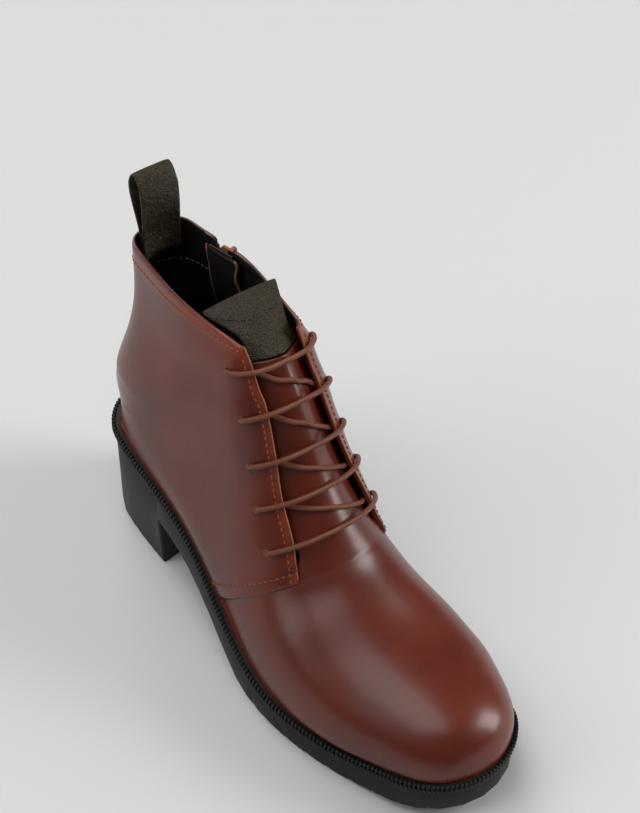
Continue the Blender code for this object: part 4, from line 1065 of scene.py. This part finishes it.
def make_top_stitches():
    """The seam across the tongue's pebbled top."""
    top = bpy.data.objects["tongue_top_leather"]
    tree = surface_of(top)
    places = [vert.co for vert in top.data.vertices]
    left = min(place.x for place in places) + 0.003
    right = max(place.x for place in places) - 0.003
    ahead = min(place.y for place in places) - 0.05
    level = max(place.z for place in places) - 0.0042
    seam = []
    for step in range(9):
        start = Vector((left + (right - left) * step / 8, ahead, level))
        hit = tree.ray_cast(start, Vector((0.0, 1.0, 0.0)))[0]
        if hit is not None:
            seam.append(hit)
    olive = thread("Olive thread", (0.020, 0.017, 0.009))
    stitched("tongue_top_stitches", tree, (seam,), "olive_leather", olive)


def rib_template():
    """One slanted rib of the welt."""
    deselect()
    bpy.ops.mesh.primitive_cube_add(size=1.0)
    obj = named("rib")
    apply_modifier(obj, "BEVEL", width=0.25, segments=2, limit_method="NONE")
    return obj


def welt_line(spacing):
    """The welt's upper outer edge, closed, in even steps."""
    return smooth_line([Vector(point) for point in WELT_EDGE], spacing, closed=True)


def inward_at(line, index):
    """Level direction from a point of the welt's closed line towards the boot."""
    count = len(line) - 1
    ahead = line[(index + 1) % count] - line[(index - 1) % count]
    across = Vector((ahead.y, -ahead.x, 0.0)).normalized()
    if across.dot(Vector((line[index].x, line[index].y, 0.0)) - Vector(WELT_CENTRE)) > 0:
        across = -across
    return across


def make_welt():
    """The welt: a plain band with two rows of slanted ribs."""
    sizes = bpy.context.scene.boot_sizes
    rubber = sole_rubber()
    line = welt_line(0.0016)
    line[-1] = line[0].copy()
    low = -0.0001 - sizes.welt_height
    profile = (
        (0.0040, -0.0003), (0.0011, -0.0004), (0.0008, -0.0020), (0.0008, low + 0.0002), (0.0012, low),
        (0.0040, low), (0.0040, -0.0003),
    )
    inward = [inward_at(line, index) for index in range(len(line) - 1)]
    inward.append(inward[0])
    rows = []
    for draw_in, drop in profile:
        rows.append([
            place + across * draw_in + Vector((0.0, 0.0, drop)) for place, across in zip(line, inward)
        ])
    band = sheet("welt_band", rows)
    weld(band)
    finished(band, "rubber", rubber, angle=40.0, replaces=("welt",))
    places = []
    line = welt_line(sizes.rib_pitch)
    count = len(line) - 1
    for index in range(count):
        ahead = (line[(index + 1) % count] - line[(index - 1) % count]).normalized()
        across = inward_at(line, index)
        rise = across.cross(ahead).normalized()
        if rise.z < 0:
            rise = -rise
        for level, slant, size in RIB_ROWS:
            leaning = (rise + ahead * slant).normalized()
            along = (ahead - leaning * ahead.dot(leaning)).normalized()
            turn = Matrix((along, leaning.cross(along), leaning)).transposed().to_4x4()
            middle = line[index] + across * RIB_SINK + rise * level
            stretch = Matrix.Diagonal((size[0], size[1], size[2], 1.0))
            places.append(Matrix.Translation(middle) @ turn @ stretch)
    ribs = repeated("welt_ribs", rib_template(), places)
    finished(ribs, "rubber", rubber, angle=50.0)


def make_sole():
    """The rubber sole with its heel, and the insole. Both keep their solids' shapes."""
    sole = copy_of_node("outsole", "sole_rubber", 0)
    corner = math.radians(SHARP_ANGLE)
    apply_modifier(sole, "BEVEL", width=0.0006, segments=2, limit_method="ANGLE", angle_limit=corner)
    finished(sole, "rubber", sole_rubber(), angle=35.0, replaces=("outsole",))
    insole = copy_of_node("insole", "insole_leather", 1)
    finished(insole, "insole_leather", lining_leather(), replaces=("insole",))


def make_loop():
    """The pebbled pull loop at the heel."""
    loop = copy_of_node("pull_loop", "pull_loop_leather", 2)
    finished(loop, "olive_leather", olive_leather(), replaces=("pull_loop",))


def zip_frames(spacing):
    """Places down the middle of the zip on the leather, each with its direction and the leather's normal."""
    tree = surface_of(bpy.data.objects["upper_leather"])
    line = smooth_line([Vector((0.030, y, z)) for y, z in ZIP_LINE], spacing)
    frames = []
    for place, ahead in zip(line, directions(line)):
        normal = Vector((0.97, 0.20, 0.05)).normalized()
        sides = []
        for offset in (-ZIP_SEAM, ZIP_SEAM):
            side = normal.cross(ahead).normalized()
            hit, found, _, _ = tree.find_nearest(place + side * offset)
            sides.append(hit)
            normal = found if found.dot(Vector((1.0, 0.0, 0.0))) > 0 else -found
        frames.append(((sides[0] + sides[1]) / 2, ahead, normal))
    return frames


def make_zip():
    """The zip: woven tape, teeth, slider and pull, and the seam beside it."""
    for node, name, material in (
        ("zip_tape", "zip_tape", woven_tape()),
        ("zip_teeth", "zip_teeth", woven_tape("Dark zip teeth", (0.035, 0.012, 0.008))),
        ("zip_slider", "zip_slider", zip_metal()),
        ("zip_pull", "zip_pull", zip_metal()),
    ):
        obj = NODES[node]
        obj.data.materials.clear()
        obj.data.materials.append(material)
    tree = surface_of(bpy.data.objects["upper_leather"])
    seams = []
    for sign in (-1, 1):
        seam = []
        for middle, ahead, normal in zip_frames(0.006)[1:]:
            side = normal.cross(ahead).normalized()
            seam.append(middle + side * ZIP_SEAM * sign)
        seams.append(seam)
    stitched("zip_stitches", tree, seams, "burgundy_leather", thread())


def make_stage():
    """A pale floor, soft studio light and the camera."""
    scene = bpy.context.scene
    deselect()
    bpy.ops.mesh.primitive_plane_add(size=6.0, location=(0.0, 0.0, 0.0))
    floor = named("floor")
    material, shader = material_named("Pale floor")
    shader.inputs["Base Color"].default_value = (FLOOR_TONE, FLOOR_TONE, FLOOR_TONE, 1.0)
    shader.inputs["Roughness"].default_value = 0.9
    floor.data.materials.append(material)
    world = bpy.data.worlds.new("Studio air")
    world.use_nodes = True
    air = world.node_tree.nodes["Background"]
    air.inputs["Color"].default_value = (1.0, 1.0, 1.0, 1.0)
    air.inputs["Strength"].default_value = AIR_STRENGTH
    scene.world = world
    for name, place, size, power in LIGHTS:
        deselect()
        bpy.ops.object.light_add(type="AREA", location=place)
        light = bpy.context.object
        light.name = name
        light.data.shape = "RECTANGLE"
        light.data.size, light.data.size_y = size
        light.data.energy = power
        aim = Vector(place) - Vector((0.0, 0.0, 0.08))
        light.rotation_euler = aim.to_track_quat("Z", "Y").to_euler()
    bpy.ops.object.camera_add(location=(0.0, 0.0, 0.0))
    camera = bpy.context.object
    camera.name = "photo_camera"
    camera.data.lens = CAMERA_LENS
    camera.data.sensor_width = 36.0
    axes = Matrix((CAMERA_RIGHT, CAMERA_UP, CAMERA_BACK)).transposed().to_4x4()
    camera.matrix_world = Matrix.Translation(CAMERA_PLACE) @ axes
    scene.camera = camera
    scene.view_settings.view_transform = "Standard"


# Buttons for each group of pieces, and their panel.


class BOOT_OT_upper(bpy.types.Operator):
    """Makes the leather upper, its facings' raw edges and its lining"""

    bl_idname = "boot.upper"
    bl_label = "Upper"

    def execute(self, context):
        make_upper()
        make_facing_edges()
        make_eyelets()
        return {"FINISHED"}


class BOOT_OT_tongue(bpy.types.Operator):
    """Makes the tongue, its pebbled top and the leather that joins it to the vamp"""

    bl_idname = "boot.tongue"
    bl_label = "Tongue"

    def execute(self, context):
        make_tongue()
        make_throat()
        return {"FINISHED"}


class BOOT_OT_laces(bpy.types.Operator):
    """Makes the bars and crosses of the waxed cord"""

    bl_idname = "boot.laces"
    bl_label = "Laces"

    def execute(self, context):
        make_laces()
        return {"FINISHED"}


class BOOT_OT_stitches(bpy.types.Operator):
    """Makes the sewn seams"""

    bl_idname = "boot.stitches"
    bl_label = "Stitches"

    def execute(self, context):
        make_stitches()
        return {"FINISHED"}


class BOOT_OT_sole(bpy.types.Operator):
    """Makes the sole, the heel, the ribbed welt and the insole"""

    bl_idname = "boot.sole"
    bl_label = "Sole and welt"

    def execute(self, context):
        make_sole()
        make_welt()
        return {"FINISHED"}


class BOOT_OT_loop(bpy.types.Operator):
    """Makes the pull loop at the heel"""

    bl_idname = "boot.loop"
    bl_label = "Pull loop"

    def execute(self, context):
        make_loop()
        return {"FINISHED"}


class BOOT_OT_zip(bpy.types.Operator):
    """Makes the zip on the inner side"""

    bl_idname = "boot.zip"
    bl_label = "Zip"

    def execute(self, context):
        make_zip()
        make_zip_guard()
        return {"FINISHED"}


class BOOT_OT_stage(bpy.types.Operator):
    """Makes the floor, the lights and the camera"""

    bl_idname = "boot.stage"
    bl_label = "Stage"

    def execute(self, context):
        make_stage()
        return {"FINISHED"}


BUTTONS = (
    BOOT_OT_upper, BOOT_OT_tongue, BOOT_OT_laces, BOOT_OT_stitches, BOOT_OT_sole, BOOT_OT_loop, BOOT_OT_zip,
    BOOT_OT_stage,
)


class BOOT_PT_panel(bpy.types.Panel):
    """Sizes, colours and pieces of the boot"""

    bl_idname = "BOOT_PT_panel"
    bl_label = "Ankle boot"
    bl_space_type = "VIEW_3D"
    bl_region_type = "UI"
    bl_category = "Boot"

    def draw(self, context):
        for settings in (context.scene.boot_sizes, context.scene.boot_colours):
            for key in settings.__annotations__:
                self.layout.prop(settings, key)
        for button in BUTTONS:
            self.layout.operator(button.bl_idname)


CLASSES = (BootSizes, BootColours) + BUTTONS + (BOOT_PT_panel,)


def register():
    """Adds the settings, buttons and panel to the program."""
    for kind in CLASSES:
        bpy.utils.register_class(kind)
    bpy.types.Scene.boot_sizes = bpy.props.PointerProperty(type=BootSizes)
    bpy.types.Scene.boot_colours = bpy.props.PointerProperty(type=BootColours)


def unregister():
    """Takes them out again."""
    del bpy.types.Scene.boot_colours
    del bpy.types.Scene.boot_sizes
    for kind in reversed(CLASSES):
        bpy.utils.unregister_class(kind)


def main():
    """Builds every piece in order and keeps the sizes."""
    register()
    bpy.ops.boot.upper()
    bpy.ops.boot.tongue()
    bpy.ops.boot.laces()
    bpy.ops.boot.stitches()
    bpy.ops.boot.sole()
    bpy.ops.boot.loop()
    bpy.ops.boot.zip()
    bpy.ops.boot.stage()


if __name__ == "__main__":
    main()
